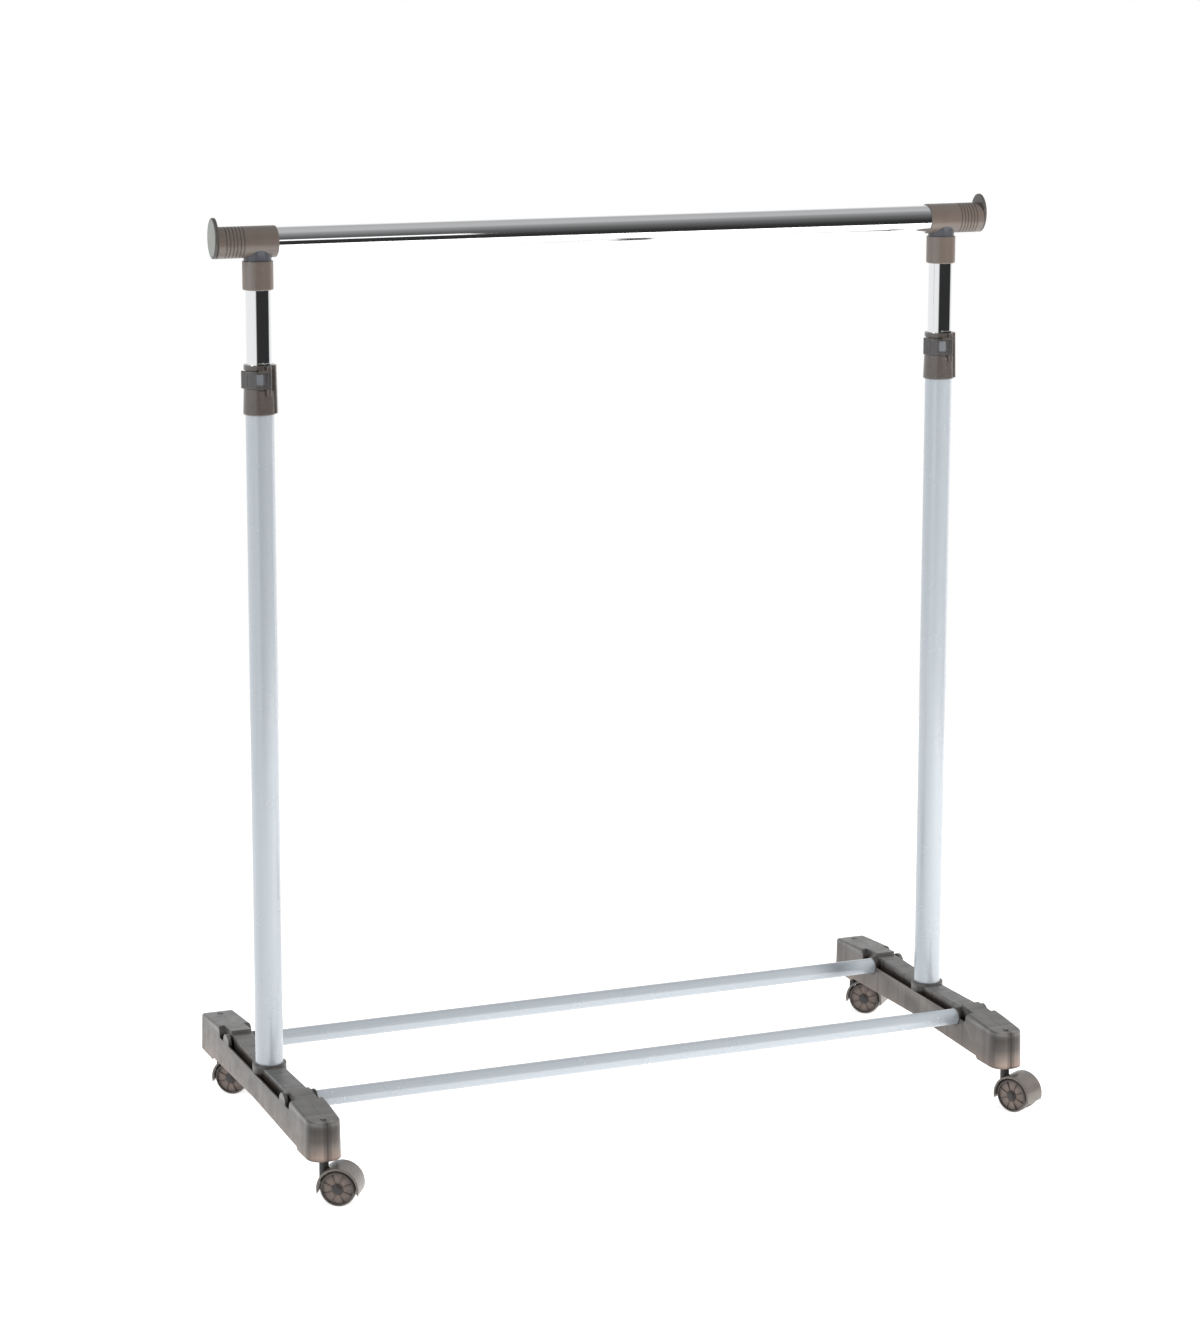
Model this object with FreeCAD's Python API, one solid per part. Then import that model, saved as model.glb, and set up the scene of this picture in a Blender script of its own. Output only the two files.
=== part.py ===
"""Rolling clothes rack: two base beams on casters, telescopic uprights and a hanging rail.

Millimetres, +Z up, +X to the right, -Y to the front. Each sub-part is written to
parts/NODE.step in the rack's own frame. The frame's origin is on the floor, under the middle
of the rack's bounding box.
"""
import FreeCAD, Part
import math
import os

from FreeCAD import Vector

# ---------------------------------------------------------------- driving dimensions
# Overall layout. The uprights stand a little behind the middle of the bounding box, because
# the casters trail towards the front.
UPRIGHT_X = 423.5            # upright axis from the rack's middle
UPRIGHT_Y = 14.5             # upright plane behind the origin
STEM_OFFSET = 202.5          # caster stem from the upright plane
RAIL_OFFSET = 112.0          # bottom rail axis from the upright plane
RAIL_Z = 86.3                # bottom rail axis above the floor
HANGING_Z = 1040.0           # hanging rail axis above the floor, frame lowered

# Tubes
OUTER_R = 16.0               # uprights and hanging rail, 32 mm tube
OUTER_BORE_R = 15.0
INNER_R = 14.0               # telescopic tubes, 28 mm tube
INNER_BORE_R = 13.0
LOWER_RAIL_R = 9.5           # bottom rails, 19 mm tube
LOWER_RAIL_BORE_R = 8.5
RUN_GAP = 0.05               # radial clearance of every running fit

# Base beam
BEAM_HALF = 20.5             # half width of the beam
BEAM_WALL = 2.6
BEAM_END = 217.5             # ends of the beam from the upright plane
NOSE_HALF = 19.8             # half width where the round of the front nose starts
NOSE_CORNER_Y = 197.0        # where the round of the front nose starts
TAPER_Y = 168.0              # where the beam starts to narrow towards the front nose
REAR_CORNER_R = 4.8          # upright corners of the square rear end
DRAFT = 1.1                  # the beam narrows by this much from its foot to its top
BLOCK_BOTTOM_Z = 50.0
BLOCK_INNER_Y = 113.0        # step from spine to block
BLOCK_OUTER_Y = 144.0        # where the block reaches its full width
BLOCK_FOOT_Y = 171.0         # where the underside steps down to the block
BLOCK_TOP_IN_Z = 101.2       # block top at the step
BLOCK_TOP_OUT_Z = 93.5       # block top at the nose
MIDDLE_BOTTOM_Z = 54.0       # underside next to the block
MIDDLE_ARCH_Z = 57.5         # underside at the upright
SPINE_HALF = 12.3
SPINE_LOW_Z = 94.8           # spine top at the upright
SPINE_HIGH_Z = 97.7          # spine top at the step
WALL_TOP_Z = 86.5            # top of the low side walls
GROOVE_FLOOR_Z = 78.0
SOCKET_R = 19.5              # barrel that holds the upright
SOCKET_TOP_Z = 97.6
SOCKET_FLOOR_Z = 67.0
EAR_R = 11.6                 # rounded ear around each bottom rail
EAR_OUT = 19.6               # outer face of the ear from the beam's middle
EAR_IN = 15.2
RAIL_END = 6.5               # end of a bottom rail from the beam's middle
STEM_TUBE_R = 7.6            # tube in the block around the caster sleeve

# Telescopic joint
UPRIGHT_TOP_Z = 873.0
INNER_BOTTOM_Z = 220.0
INNER_TOP_Z = 1018.0
COLLAR_BOTTOM_Z = 848.3
COLLAR_R = 17.5              # sleeve of the collar under the lever
COLLAR_FLARE_R = 18.5        # sleeve at its foot
LEVER_LOW_Z = 877.6          # recess in the collar that the lever lies in
LEVER_HIGH_Z = 898.4
RECESS_R = 15.9
COLLAR_TOP_Z = 904.0
PIN_ANGLE = 17.5             # lever pin, from the front towards +X, about the tube
PIN_DISTANCE = 19.4          # lever pin from the tube axis
PIN_R = 1.4
KNUCKLE_R = 2.9
LEVER_IN_R = 16.25
LEVER_OUT_R = 18.9
LEVER_GAP = 0.4              # above and below the lever
SHIM_ANGLE = 4.0             # middle of the steel shim between the lever's cam and the tube
SHIM_HALF_ANGLE = 24.0
SHIM_R = 15.3

# T fitting, local X pointing outwards from the upright
BARREL_R = 17.6
BARREL_IN = 20.4             # mouth towards the rack's middle
BARREL_OUT = 48.4            # outer end, under the cap
LEG_R = 17.2
LEG_BOTTOM = 53.0            # below the hanging rail axis
LEG_TOP = 21.0
NECK_R = 16.6
RAIL_STOP = 33.0             # end of the hanging rail from the upright axis
CAP_HALF_Y = 17.0
CAP_HALF_Z = 22.7
CAP_RISE = 5.1               # middle of the cap above the hanging rail axis
CAP_THICK = 4.1
SCREW_HEAD_R = 3.0
SEAT_DEPTH = 0.15            # flat seats of the screw heads below the fitting's surface

# Caster
WHEEL_R = 20.0
WHEEL_IN = 2.6               # inner face of a wheel from the caster's middle
WHEEL_OUT = 16.4
AXLE_R = 3.0
HOOD_IN_R = 21.4
HOOD_OUT_R = 24.2
HOOD_HALF = 16.2
TRAIL = 18.5                 # axle from the stem
STEM_R = 4.0
SLEEVE_R = 6.0
NECK_OUT_R = 5.3
SLEEVE_TOP_Z = 90.0
# How far each axle is turned from +Y towards +X, as the rack stands.
CASTER_TURN = {"front_left": 32.0, "front_right": 60.0, "rear_left": 40.0, "rear_right": 44.0}

ORIGIN = Vector(0, 0, 0)
AXIS_X = Vector(1, 0, 0)
AXIS_Y = Vector(0, 1, 0)
AXIS_Z = Vector(0, 0, 1)


# ---------------------------------------------------------------- helpers
def box(x0, x1, y0, y1, z0, z1):
    return Part.makeBox(x1 - x0, y1 - y0, z1 - z0, Vector(x0, y0, z0))


def post(radius, z0, z1, x=0.0, y=0.0):
    """Upright cylinder."""
    return Part.makeCylinder(radius, z1 - z0, Vector(x, y, z0), AXIS_Z)


def bar(radius, x0, x1, y=0.0, z=0.0):
    """Cylinder along X."""
    return Part.makeCylinder(radius, x1 - x0, Vector(x0, y, z), AXIS_X)


def tube_z(r_out, r_in, z0, z1, x=0.0, y=0.0):
    return post(r_out, z0, z1, x, y).cut(post(r_in, z0, z1, x, y))


def tube_x(r_out, r_in, x0, x1, y=0.0, z=0.0):
    return bar(r_out, x0, x1, y, z).cut(bar(r_in, x0, x1, y, z))


def plate_yz(points, x0, x1):
    """Solid between two X planes, from (y, z) corners."""
    wire = Part.makePolygon([Vector(x0, y, z) for y, z in points + points[:1]])
    return Part.Face(wire).extrude(Vector(x1 - x0, 0, 0))


def plate_xy(points, z0, z1):
    """Solid between two Z planes, from (x, y) corners."""
    wire = Part.makePolygon([Vector(x, y, z0) for x, y in points + points[:1]])
    return Part.Face(wire).extrude(Vector(0, 0, z1 - z0))


def lathe(points, base=ORIGIN, axis=AXIS_Z):
    """Solid of revolution from (radius, height) corners about an axis through base."""
    wire = Part.makePolygon([Vector(r, 0, h) for r, h in points + points[:1]])
    solid = Part.Face(wire).revolve(ORIGIN, AXIS_Z, 360)
    solid.Placement = FreeCAD.Placement(base, FreeCAD.Rotation(AXIS_Z, axis))
    return solid


def fuse_all(shapes):
    result = shapes[0]
    for shape in shapes[1:]:
        result = result.fuse(shape)
    return result.removeSplitter()


def mirror_y(shape):
    return shape.mirror(ORIGIN, AXIS_Y)


def mirror_x(shape):
    return shape.mirror(ORIGIN, AXIS_X)


def round_edges(shape, radius, chosen):
    """Fillet the edges for which chosen(edge) is true."""
    return shape.makeFillet(radius, [e for e in shape.Edges if chosen(e)])


def around(angle, distance):
    """Point at an angle from the front (-Y) towards +X, at a distance from the tube axis."""
    turn = math.radians(angle)
    return distance * math.sin(turn), -distance * math.cos(turn)


def write(name, shape, x=0.0, y=0.0):
    """Place a sub-part in the rack's frame and write it."""
    placed = shape.copy()
    placed.translate(Vector(x, y + UPRIGHT_Y, 0))
    placed.exportStep("parts/" + name + ".step")


# ---------------------------------------------------------------- base beam
def nose_outline(inset, z):
    """Wire of the beam in plan: a rounded nose in front and a square end with small corners."""
    half = BEAM_HALF - inset
    nose = NOSE_HALF - inset
    depth = BEAM_END - inset - NOSE_CORNER_Y
    points = [Vector(-half, -TAPER_Y, z), Vector(-nose, -NOSE_CORNER_Y, z)]
    for turn in (155, 125, 90, 55, 25):
        across = math.cos(math.radians(turn))
        along = math.sin(math.radians(turn))
        # A little squarer than an ellipse.
        reach = (abs(across) ** 2.5 + along ** 2.5) ** (-1 / 2.5)
        points.append(Vector(nose * reach * across, -NOSE_CORNER_Y - depth * reach * along, z))
    points += [Vector(nose, -NOSE_CORNER_Y, z), Vector(half, -TAPER_Y, z)]
    curve = Part.BSplineCurve()
    curve.interpolate(Points=points, InitialTangent=Vector(0, -1, 0), FinalTangent=Vector(0, 1, 0))
    end = BEAM_END - inset
    corner = max(REAR_CORNER_R - inset, 0.8)
    eased = corner * (1 - math.sqrt(0.5))
    right = [Vector(half, end - corner, z), Vector(half - eased, end - eased, z),
             Vector(half - corner, end, z)]
    left = [Vector(-p.x, p.y, z) for p in reversed(right)]
    return Part.Wire([
        curve.toShape(), Part.makeLine(points[-1], right[0]), Part.Arc(*right).toShape(),
        Part.makeLine(right[-1], left[0]), Part.Arc(*left).toShape(),
        Part.makeLine(left[-1], points[0])])


def nose_prism(inset, z0, z1):
    """Upright body of the beam's plan, narrowing upwards by the draft."""
    wires = []
    for z in (z0, z1):
        share = (z - BLOCK_BOTTOM_Z) / 50.0
        wires.append(nose_outline(inset + DRAFT * share, z))
    return Part.makeLoft(wires, True, True)


def top_z(y):
    """Height of the sloping block top at a distance from the upright plane."""
    share = (y - BLOCK_INNER_Y) / (BEAM_END - BLOCK_INNER_Y)
    return BLOCK_TOP_IN_Z + share * (BLOCK_TOP_OUT_Z - BLOCK_TOP_IN_Z)


def underside():
    """Corners of the beam's underside from the middle outwards."""
    return [(0, MIDDLE_ARCH_Z), (BLOCK_FOOT_Y - 4, MIDDLE_BOTTOM_Z),
            (BLOCK_FOOT_Y, BLOCK_BOTTOM_Z), (BEAM_END, BLOCK_BOTTOM_Z)]


def mirrored_profile(points):
    """Close a half profile, given from the middle outwards and back, about Y = 0."""
    other = [(-y, z) for y, z in reversed(points) if y > 0]
    return points + other


def beam_blank():
    """Outer form of the beam without its hollows."""
    spine = mirrored_profile(underside() + [
        (BEAM_END, top_z(BEAM_END)), (BLOCK_INNER_Y, BLOCK_TOP_IN_Z),
        (BLOCK_INNER_Y, SPINE_HIGH_Z), (0, SPINE_LOW_Z)])
    sides = mirrored_profile(underside() + [
        (BEAM_END, top_z(BEAM_END)), (BLOCK_OUTER_Y, top_z(BLOCK_OUTER_Y)),
        (BLOCK_OUTER_Y - 5, top_z(BLOCK_OUTER_Y) - 5), (BLOCK_OUTER_Y - 7, WALL_TOP_Z),
        (0, WALL_TOP_Z)])
    blank = plate_yz(sides, -BEAM_HALF, BEAM_HALF).common(nose_prism(0, 48, 106))
    blank = round_edges(blank, 3.0, is_block_rim)
    return blank.fuse(plate_yz(spine, -SPINE_HALF, SPINE_HALF).common(nose_prism(0.02, 48, 106)))


def is_block_rim(edge):
    """Edges around the top of an end block, except the one at the step."""
    box_ = edge.BoundBox
    return box_.ZMin > BLOCK_TOP_OUT_Z - 2 and abs(box_.Center.y) > BLOCK_OUTER_Y + 2


def beam_hollow():
    """Space under the beam's skin, open at the bottom."""
    skin = BEAM_WALL
    floor = GROOVE_FLOOR_Z - skin
    low = 42.0
    block_y = BLOCK_OUTER_Y + 1
    outer = mirrored_profile([
        (0, low), (BEAM_END, low), (BEAM_END, top_z(BEAM_END) - skin - 1),
        (block_y, top_z(block_y) - skin - 1), (block_y, floor), (0, floor)])
    inner = mirrored_profile([
        (0, low), (block_y + 1, low), (block_y + 1, top_z(block_y + 1) - skin - 1),
        (BLOCK_INNER_Y, SPINE_HIGH_Z - skin), (0, SPINE_LOW_Z - skin)])
    wide = plate_yz(outer, -BEAM_HALF, BEAM_HALF).common(nose_prism(skin, 40, 106))
    return wide.fuse(plate_yz(inner, -SPINE_HALF + skin, SPINE_HALF - skin))


def rail_seat(side, sign):
    """Ear and blind tube that hold one bottom rail; side is where the rail comes from."""
    y = sign * RAIL_OFFSET
    ears = bar(EAR_R, -EAR_OUT, -EAR_IN, y, RAIL_Z).fuse(bar(EAR_R, EAR_IN, EAR_OUT, y, RAIL_Z))
    seat = bar(EAR_R, 2.0, EAR_OUT, y, RAIL_Z)
    bore = bar(LOWER_RAIL_R, RAIL_END, BEAM_HALF + 1, y, RAIL_Z)
    if side < 0:
        seat = mirror_x(seat)
        bore = mirror_x(bore)
    return ears.fuse(seat), bore


def stem_tube(sign):
    """Tube and four ribs that hold a caster sleeve in an end block."""
    y = sign * STEM_OFFSET
    top = top_z(STEM_OFFSET) - 1.5
    tube = post(STEM_TUBE_R, BLOCK_BOTTOM_Z, top, 0, y)
    across = box(-BEAM_HALF + 1, BEAM_HALF - 1, y - 0.9, y + 0.9, BLOCK_BOTTOM_Z + 3, top)
    along = box(-0.9, 0.9, y - 24, y + 20, BLOCK_BOTTOM_Z + 3, top)
    return fuse_all([tube, across, along]).common(nose_prism(1.0, 48, 106))


def middle_ribs():
    """Cross ribs under the spine, between the upright and the blocks."""
    ribs = []
    for y in (38.0, 66.0, 94.0, 132.0):
        for sign in (1, -1):
            centre = sign * y
            ribs.append(box(-BEAM_HALF + 1, BEAM_HALF - 1, centre - 0.8, centre + 0.8,
                            MIDDLE_ARCH_Z + 3, GROOVE_FLOOR_Z - 1))
    return ribs


def base_beam(side):
    """Beam with its upright socket at X = 0; side is the direction the rails come from."""
    groove = fuse_all([
        box(SPINE_HALF, BEAM_HALF - BEAM_WALL, -BLOCK_OUTER_Y + 7, BLOCK_OUTER_Y - 7,
            GROOVE_FLOOR_Z, WALL_TOP_Z + 30),
        box(-BEAM_HALF + BEAM_WALL, -SPINE_HALF, -BLOCK_OUTER_Y + 7, BLOCK_OUTER_Y - 7,
            GROOVE_FLOOR_Z, WALL_TOP_Z + 30)])
    beam = beam_blank().cut(groove).cut(beam_hollow())
    added = [post(SOCKET_R, MIDDLE_ARCH_Z, SOCKET_TOP_Z)] + middle_ribs()
    bores = [post(OUTER_R, SOCKET_FLOOR_Z, SOCKET_TOP_Z + 1)]
    bores.append(post(3.2, 0, SOCKET_TOP_Z))
    bores.append(post(6.4, 0, SOCKET_FLOOR_Z - 4))
    for sign in (1, -1):
        seat, bore = rail_seat(side, sign)
        added += [seat, stem_tube(sign), post(3.6, 94, top_z(STEM_OFFSET) + 0.7, 0,
                                              sign * STEM_OFFSET)]
        bores += [bore, post(SLEEVE_R, 0, SLEEVE_TOP_Z, 0, sign * STEM_OFFSET)]
    for shape in added:
        beam = beam.fuse(shape)
    for shape in bores:
        beam = beam.cut(shape)
    return beam.removeSplitter()


# ---------------------------------------------------------------- uprights
def upright_tube():
    return tube_z(OUTER_R, OUTER_BORE_R, SOCKET_FLOOR_Z, UPRIGHT_TOP_Z)


def foot_plug():
    """Plug pressed into the upright's foot, with the thread for the bolt."""
    plug = post(OUTER_BORE_R, SOCKET_FLOOR_Z, SOCKET_FLOOR_Z + 24)
    return plug.cut(post(3.0, SOCKET_FLOOR_Z - 1, SOCKET_FLOOR_Z + 30))


def foot_bolt():
    """Hexagon bolt from under the beam into the foot plug."""
    seat = SOCKET_FLOOR_Z - 4
    corners = [(5.77 * math.cos(math.radians(a)), 5.77 * math.sin(math.radians(a)))
               for a in range(0, 360, 60)]
    head = plate_xy(corners, seat - 4, seat)
    return head.fuse(post(3.0, seat - 0.5, SOCKET_FLOOR_Z + 20))


def clamp_collar():
    """Collar on the upright's top: sleeve below, split clamp ring with a lever recess above."""
    body = lathe([(0, COLLAR_BOTTOM_Z), (COLLAR_FLARE_R - 1, COLLAR_BOTTOM_Z),
                  (COLLAR_FLARE_R, COLLAR_BOTTOM_Z + 1.2), (COLLAR_R, LEVER_LOW_Z),
                  (RECESS_R, LEVER_LOW_Z), (RECESS_R, LEVER_HIGH_Z), (COLLAR_R, LEVER_HIGH_Z),
                  (COLLAR_R, COLLAR_TOP_Z - 0.6), (COLLAR_R - 0.6, COLLAR_TOP_Z),
                  (0, COLLAR_TOP_Z)])
    pin_x, pin_y = around(PIN_ANGLE, PIN_DISTANCE)
    for low, high in ((LEVER_LOW_Z - 7, LEVER_LOW_Z), (LEVER_HIGH_Z, COLLAR_TOP_Z - 0.8)):
        lug = box(-KNUCKLE_R, KNUCKLE_R, -PIN_DISTANCE, -RECESS_R + 1, low, high)
        lug.rotate(ORIGIN, AXIS_Z, PIN_ANGLE)
        body = body.fuse(lug).fuse(post(KNUCKLE_R, low, high, pin_x, pin_y))
    body = body.fuse(collar_flange())
    body = body.cut(post(OUTER_R, 0, UPRIGHT_TOP_Z))
    body = body.cut(post(INNER_R + RUN_GAP, 0, 2000))
    body = body.cut(post(PIN_R, LEVER_LOW_Z - 5, 2000, pin_x, pin_y))
    body = body.cut(shim_sector(LEVER_LOW_Z + 1.5, COLLAR_TOP_Z + 1))
    # Dark reliefs above and below the lever's root.
    body = body.cut(ring_sector(14.9, 30, -18, 9, LEVER_HIGH_Z - 1, LEVER_HIGH_Z + 1.6))
    body = body.cut(ring_sector(16.4, 30, -18, 6, LEVER_LOW_Z - 1.8, LEVER_LOW_Z + 1))
    slit = box(-0.9, 0.9, -25.0, -10.0, UPRIGHT_TOP_Z + 2, COLLAR_TOP_Z + 1)
    slit.rotate(ORIGIN, AXIS_Z, 42)
    return body.cut(slit).removeSplitter()


def collar_flange():
    """Stiffening block on the collar's right, over its whole height."""
    low = COLLAR_BOTTOM_Z + 1.5
    profile = [(-14.5, low), (-20.3, low), (-19.2, COLLAR_TOP_Z), (-14.5, COLLAR_TOP_Z)]
    flange = plate_yz(profile, -5.2, 5.2)
    flange = round_edges(flange, 1.3, lambda e: e.BoundBox.ZLength > 30
                         and e.BoundBox.YMax < -18)
    flange.rotate(ORIGIN, AXIS_Z, 66)
    return flange


def ring_sector(r_in, r_out, first, last, z0, z1):
    """Part of a ring about the tube axis, between two angles from the front towards +X."""
    reach = 2 * r_out
    middle = (first + last) / 2
    wedge = [(0, 0)] + [around(angle, reach) for angle in (first, middle, last)]
    return tube_z(r_out, r_in, z0, z1).common(plate_xy(wedge, z0 - 1, z1 + 1))


def shim_sector(z0, z1):
    return ring_sector(INNER_R + RUN_GAP, SHIM_R, SHIM_ANGLE - SHIM_HALF_ANGLE,
                       SHIM_ANGLE + SHIM_HALF_ANGLE, z0, z1)


def clamp_shim():
    """Curved steel shim between the cam of the lever and the inner tube, with a lip on top."""
    shim = shim_sector(LEVER_LOW_Z + 1.5, COLLAR_TOP_Z + 2.6)
    lip = ring_sector(SHIM_R - 0.2, 17.0, SHIM_ANGLE - SHIM_HALF_ANGLE,
                      SHIM_ANGLE + SHIM_HALF_ANGLE, COLLAR_TOP_Z, COLLAR_TOP_Z + 2.6)
    lip = round_edges(lip, 0.9, lambda e: e.BoundBox.ZMin > COLLAR_TOP_Z + 2.5
                      and e.BoundBox.YMin < -15.8 and e.BoundBox.XLength > 8)
    return shim.fuse(lip).removeSplitter()


def clamp_pin():
    """Pivot pin of the lever, flush with the upper lug."""
    pin_x, pin_y = around(PIN_ANGLE, PIN_DISTANCE)
    return post(PIN_R, LEVER_LOW_Z - 5, COLLAR_TOP_Z - 0.4, pin_x, pin_y)


def clamp_lever():
    """Curved lever that wraps round the left of the collar and turns on the pin."""
    low = LEVER_LOW_Z + LEVER_GAP
    high = LEVER_HIGH_Z - LEVER_GAP
    arm = ring_sector(LEVER_IN_R, LEVER_OUT_R, -70, -2, low, high)
    arm = round_edges(arm, 0.7, lambda e: e.BoundBox.ZLength < 0.1 and e.Length > 20)
    # Straight finger tip that stands off the collar.
    tip = plate_xy([around(-64, LEVER_IN_R + 0.1), around(-66, LEVER_OUT_R - 0.1),
                    around(-86.5, 21.2), around(-90, 20.9), around(-91, 19.4),
                    around(-76, LEVER_IN_R + 0.5)], low + 0.01, high - 0.01)
    tip = round_edges(tip, 0.6, lambda e: e.BoundBox.XMax < -18 and e.BoundBox.ZLength > 5)
    pin_x, pin_y = around(PIN_ANGLE, PIN_DISTANCE)
    knuckle = post(KNUCKLE_R, low, high, pin_x, pin_y)
    link = plate_xy([around(-4, LEVER_IN_R + 0.15), around(8, LEVER_IN_R + 0.15),
                     around(PIN_ANGLE - 2, PIN_DISTANCE - KNUCKLE_R + 0.4), (pin_x, pin_y),
                     around(PIN_ANGLE - 4, PIN_DISTANCE + KNUCKLE_R - 0.5),
                     around(-4, LEVER_OUT_R - 0.15)], low + 0.02, high - 0.02)
    lever = arm.fuse(knuckle).fuse(link).fuse(tip)
    pocket = ring_sector(LEVER_OUT_R - 1.1, LEVER_OUT_R + 2, -32, 0, low + 4.5, high - 3.5)
    lever = lever.cut(pocket)
    return lever.cut(post(PIN_R + RUN_GAP, 0, 2000, pin_x, pin_y)).removeSplitter()


def inner_tube():
    """Telescopic tube, with the hole for the T fitting's lower screw."""
    return tube_z(INNER_R, INNER_BORE_R, INNER_BOTTOM_Z, INNER_TOP_Z).cut(screw_shanks()[0])


def guide_bush():
    """Bush that centres the inner tube's lower end in the upright."""
    rim = tube_z(OUTER_BORE_R - RUN_GAP, 9.0, INNER_BOTTOM_Z - 8, INNER_BOTTOM_Z)
    return rim.fuse(tube_z(INNER_BORE_R, 9.0, INNER_BOTTOM_Z - 1, INNER_BOTTOM_Z + 22))


# ---------------------------------------------------------------- upper frame
def t_fitting():
    """T fitting of the right upright: the barrel's outer end points to +X."""
    barrel = bar(BARREL_R, -BARREL_IN, BARREL_OUT, 0, HANGING_Z)
    barrel = round_edges(barrel, 1.6, lambda e: e.BoundBox.XMax < -BARREL_IN + 0.1)
    for index in range(6):
        at = 20.0 + 3.2 * index
        barrel = barrel.cut(tube_x(BARREL_R + 1, BARREL_R - 0.5, at, at + 1.2, 0, HANGING_Z))
    leg = post(LEG_R, HANGING_Z - LEG_BOTTOM, HANGING_Z - LEG_TOP)
    leg = round_edges(leg, 1.8, lambda e: e.BoundBox.ZMax < HANGING_Z - LEG_BOTTOM + 0.1)
    leg = round_edges(leg, 0.7, lambda e: e.BoundBox.ZMin > HANGING_Z - LEG_TOP - 0.1)
    neck = post(NECK_R, HANGING_Z - LEG_TOP - 1, HANGING_Z)
    body = barrel.fuse(leg).fuse(neck)
    body = body.cut(bar(OUTER_R, -BARREL_IN - 1, BARREL_OUT + 1, 0, HANGING_Z))
    body = body.cut(post(INNER_R, 0, INNER_TOP_Z))
    for hole in screw_shanks() + screw_seats():
        body = body.cut(hole)
    return body.removeSplitter()


def screw_seats():
    """Flat seats under the heads of the two screws of a T fitting."""
    leg = Part.makeCylinder(SCREW_HEAD_R, 3, Vector(0, LEG_R - SEAT_DEPTH, HANGING_Z - 38), AXIS_Y)
    barrel = Part.makeCylinder(SCREW_HEAD_R, 3, Vector(10, BARREL_R - SEAT_DEPTH, HANGING_Z), AXIS_Y)
    return [leg, barrel]


def screw_shanks():
    """Shanks of the two screws of a T fitting: one into the leg, one into the barrel."""
    leg = Part.makeCylinder(1.6, 8.2, Vector(0, 11.5, HANGING_Z - 38), AXIS_Y)
    barrel = Part.makeCylinder(1.6, 7.2, Vector(10, 13.0, HANGING_Z), AXIS_Y)
    return [leg, barrel]


def fitting_screws():
    """The two screws of a T fitting, with their pan heads at the back."""
    heads = []
    for x, y, z in ((0, LEG_R - SEAT_DEPTH, HANGING_Z - 38), (10, BARREL_R - SEAT_DEPTH, HANGING_Z)):
        pan = lathe([(0, 0), (SCREW_HEAD_R, 0), (SCREW_HEAD_R, 1.1), (2.2, 1.9), (0, 2.1)],
                    Vector(x, y, z), AXIS_Y)
        slot = box(x - 2.4, x + 2.4, y + 1.2, y + 3, z - 0.35, z + 0.35)
        slot = slot.fuse(box(x - 0.35, x + 0.35, y + 1.2, y + 3, z - 2.4, z + 2.4))
        heads.append(pan.cut(slot))
    return [head.fuse(shank) for head, shank in zip(heads, screw_shanks())]


def end_cap():
    """Oval cap of the right T fitting: plate outside, spigot inside the barrel."""
    ellipse = Part.Ellipse(ORIGIN, CAP_HALF_Z, CAP_HALF_Y)
    face = Part.Face(Part.Wire(ellipse.toShape()))
    face.Placement = FreeCAD.Placement(Vector(BARREL_OUT, 0, HANGING_Z + CAP_RISE),
                                       FreeCAD.Rotation(AXIS_Y, -90))
    plate = face.extrude(Vector(CAP_THICK, 0, 0))
    plate = round_edges(plate, 1.5, lambda e: e.BoundBox.XMin > BARREL_OUT + CAP_THICK - 0.1)
    spigot = tube_x(OUTER_R, 13.5, RAIL_STOP + 4, BARREL_OUT, 0, HANGING_Z)
    return plate.fuse(spigot).removeSplitter()


def hanging_rail():
    end = UPRIGHT_X + RAIL_STOP
    rail = tube_x(OUTER_R, OUTER_BORE_R, -end, end, 0, HANGING_Z)
    for side in (-1, 1):
        hole = screw_shanks()[1]
        if side < 0:
            hole = mirror_x(hole)
        hole.translate(Vector(side * UPRIGHT_X, 0, 0))
        rail = rail.cut(hole)
    return rail


def lower_rail():
    end = UPRIGHT_X - RAIL_END
    return tube_x(LOWER_RAIL_R, LOWER_RAIL_BORE_R, -end, end, 0, RAIL_Z)


# ---------------------------------------------------------------- caster
# Local frame: stem axis at X = Y = 0, axle along Y at X = TRAIL. Turned in place later.
def caster_sleeve():
    sleeve = post(SLEEVE_R, BLOCK_BOTTOM_Z, SLEEVE_TOP_Z)
    sleeve = sleeve.fuse(post(SLEEVE_R + 1.4, BLOCK_BOTTOM_Z - 1, BLOCK_BOTTOM_Z))
    return sleeve.cut(post(STEM_R + RUN_GAP, 0, SLEEVE_TOP_Z - 2)).removeSplitter()


def caster_stem():
    stem = post(STEM_R, 36, SLEEVE_TOP_Z - 4)
    return round_edges(stem, 1.0, lambda e: e.BoundBox.ZMin > SLEEVE_TOP_Z - 5)


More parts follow.
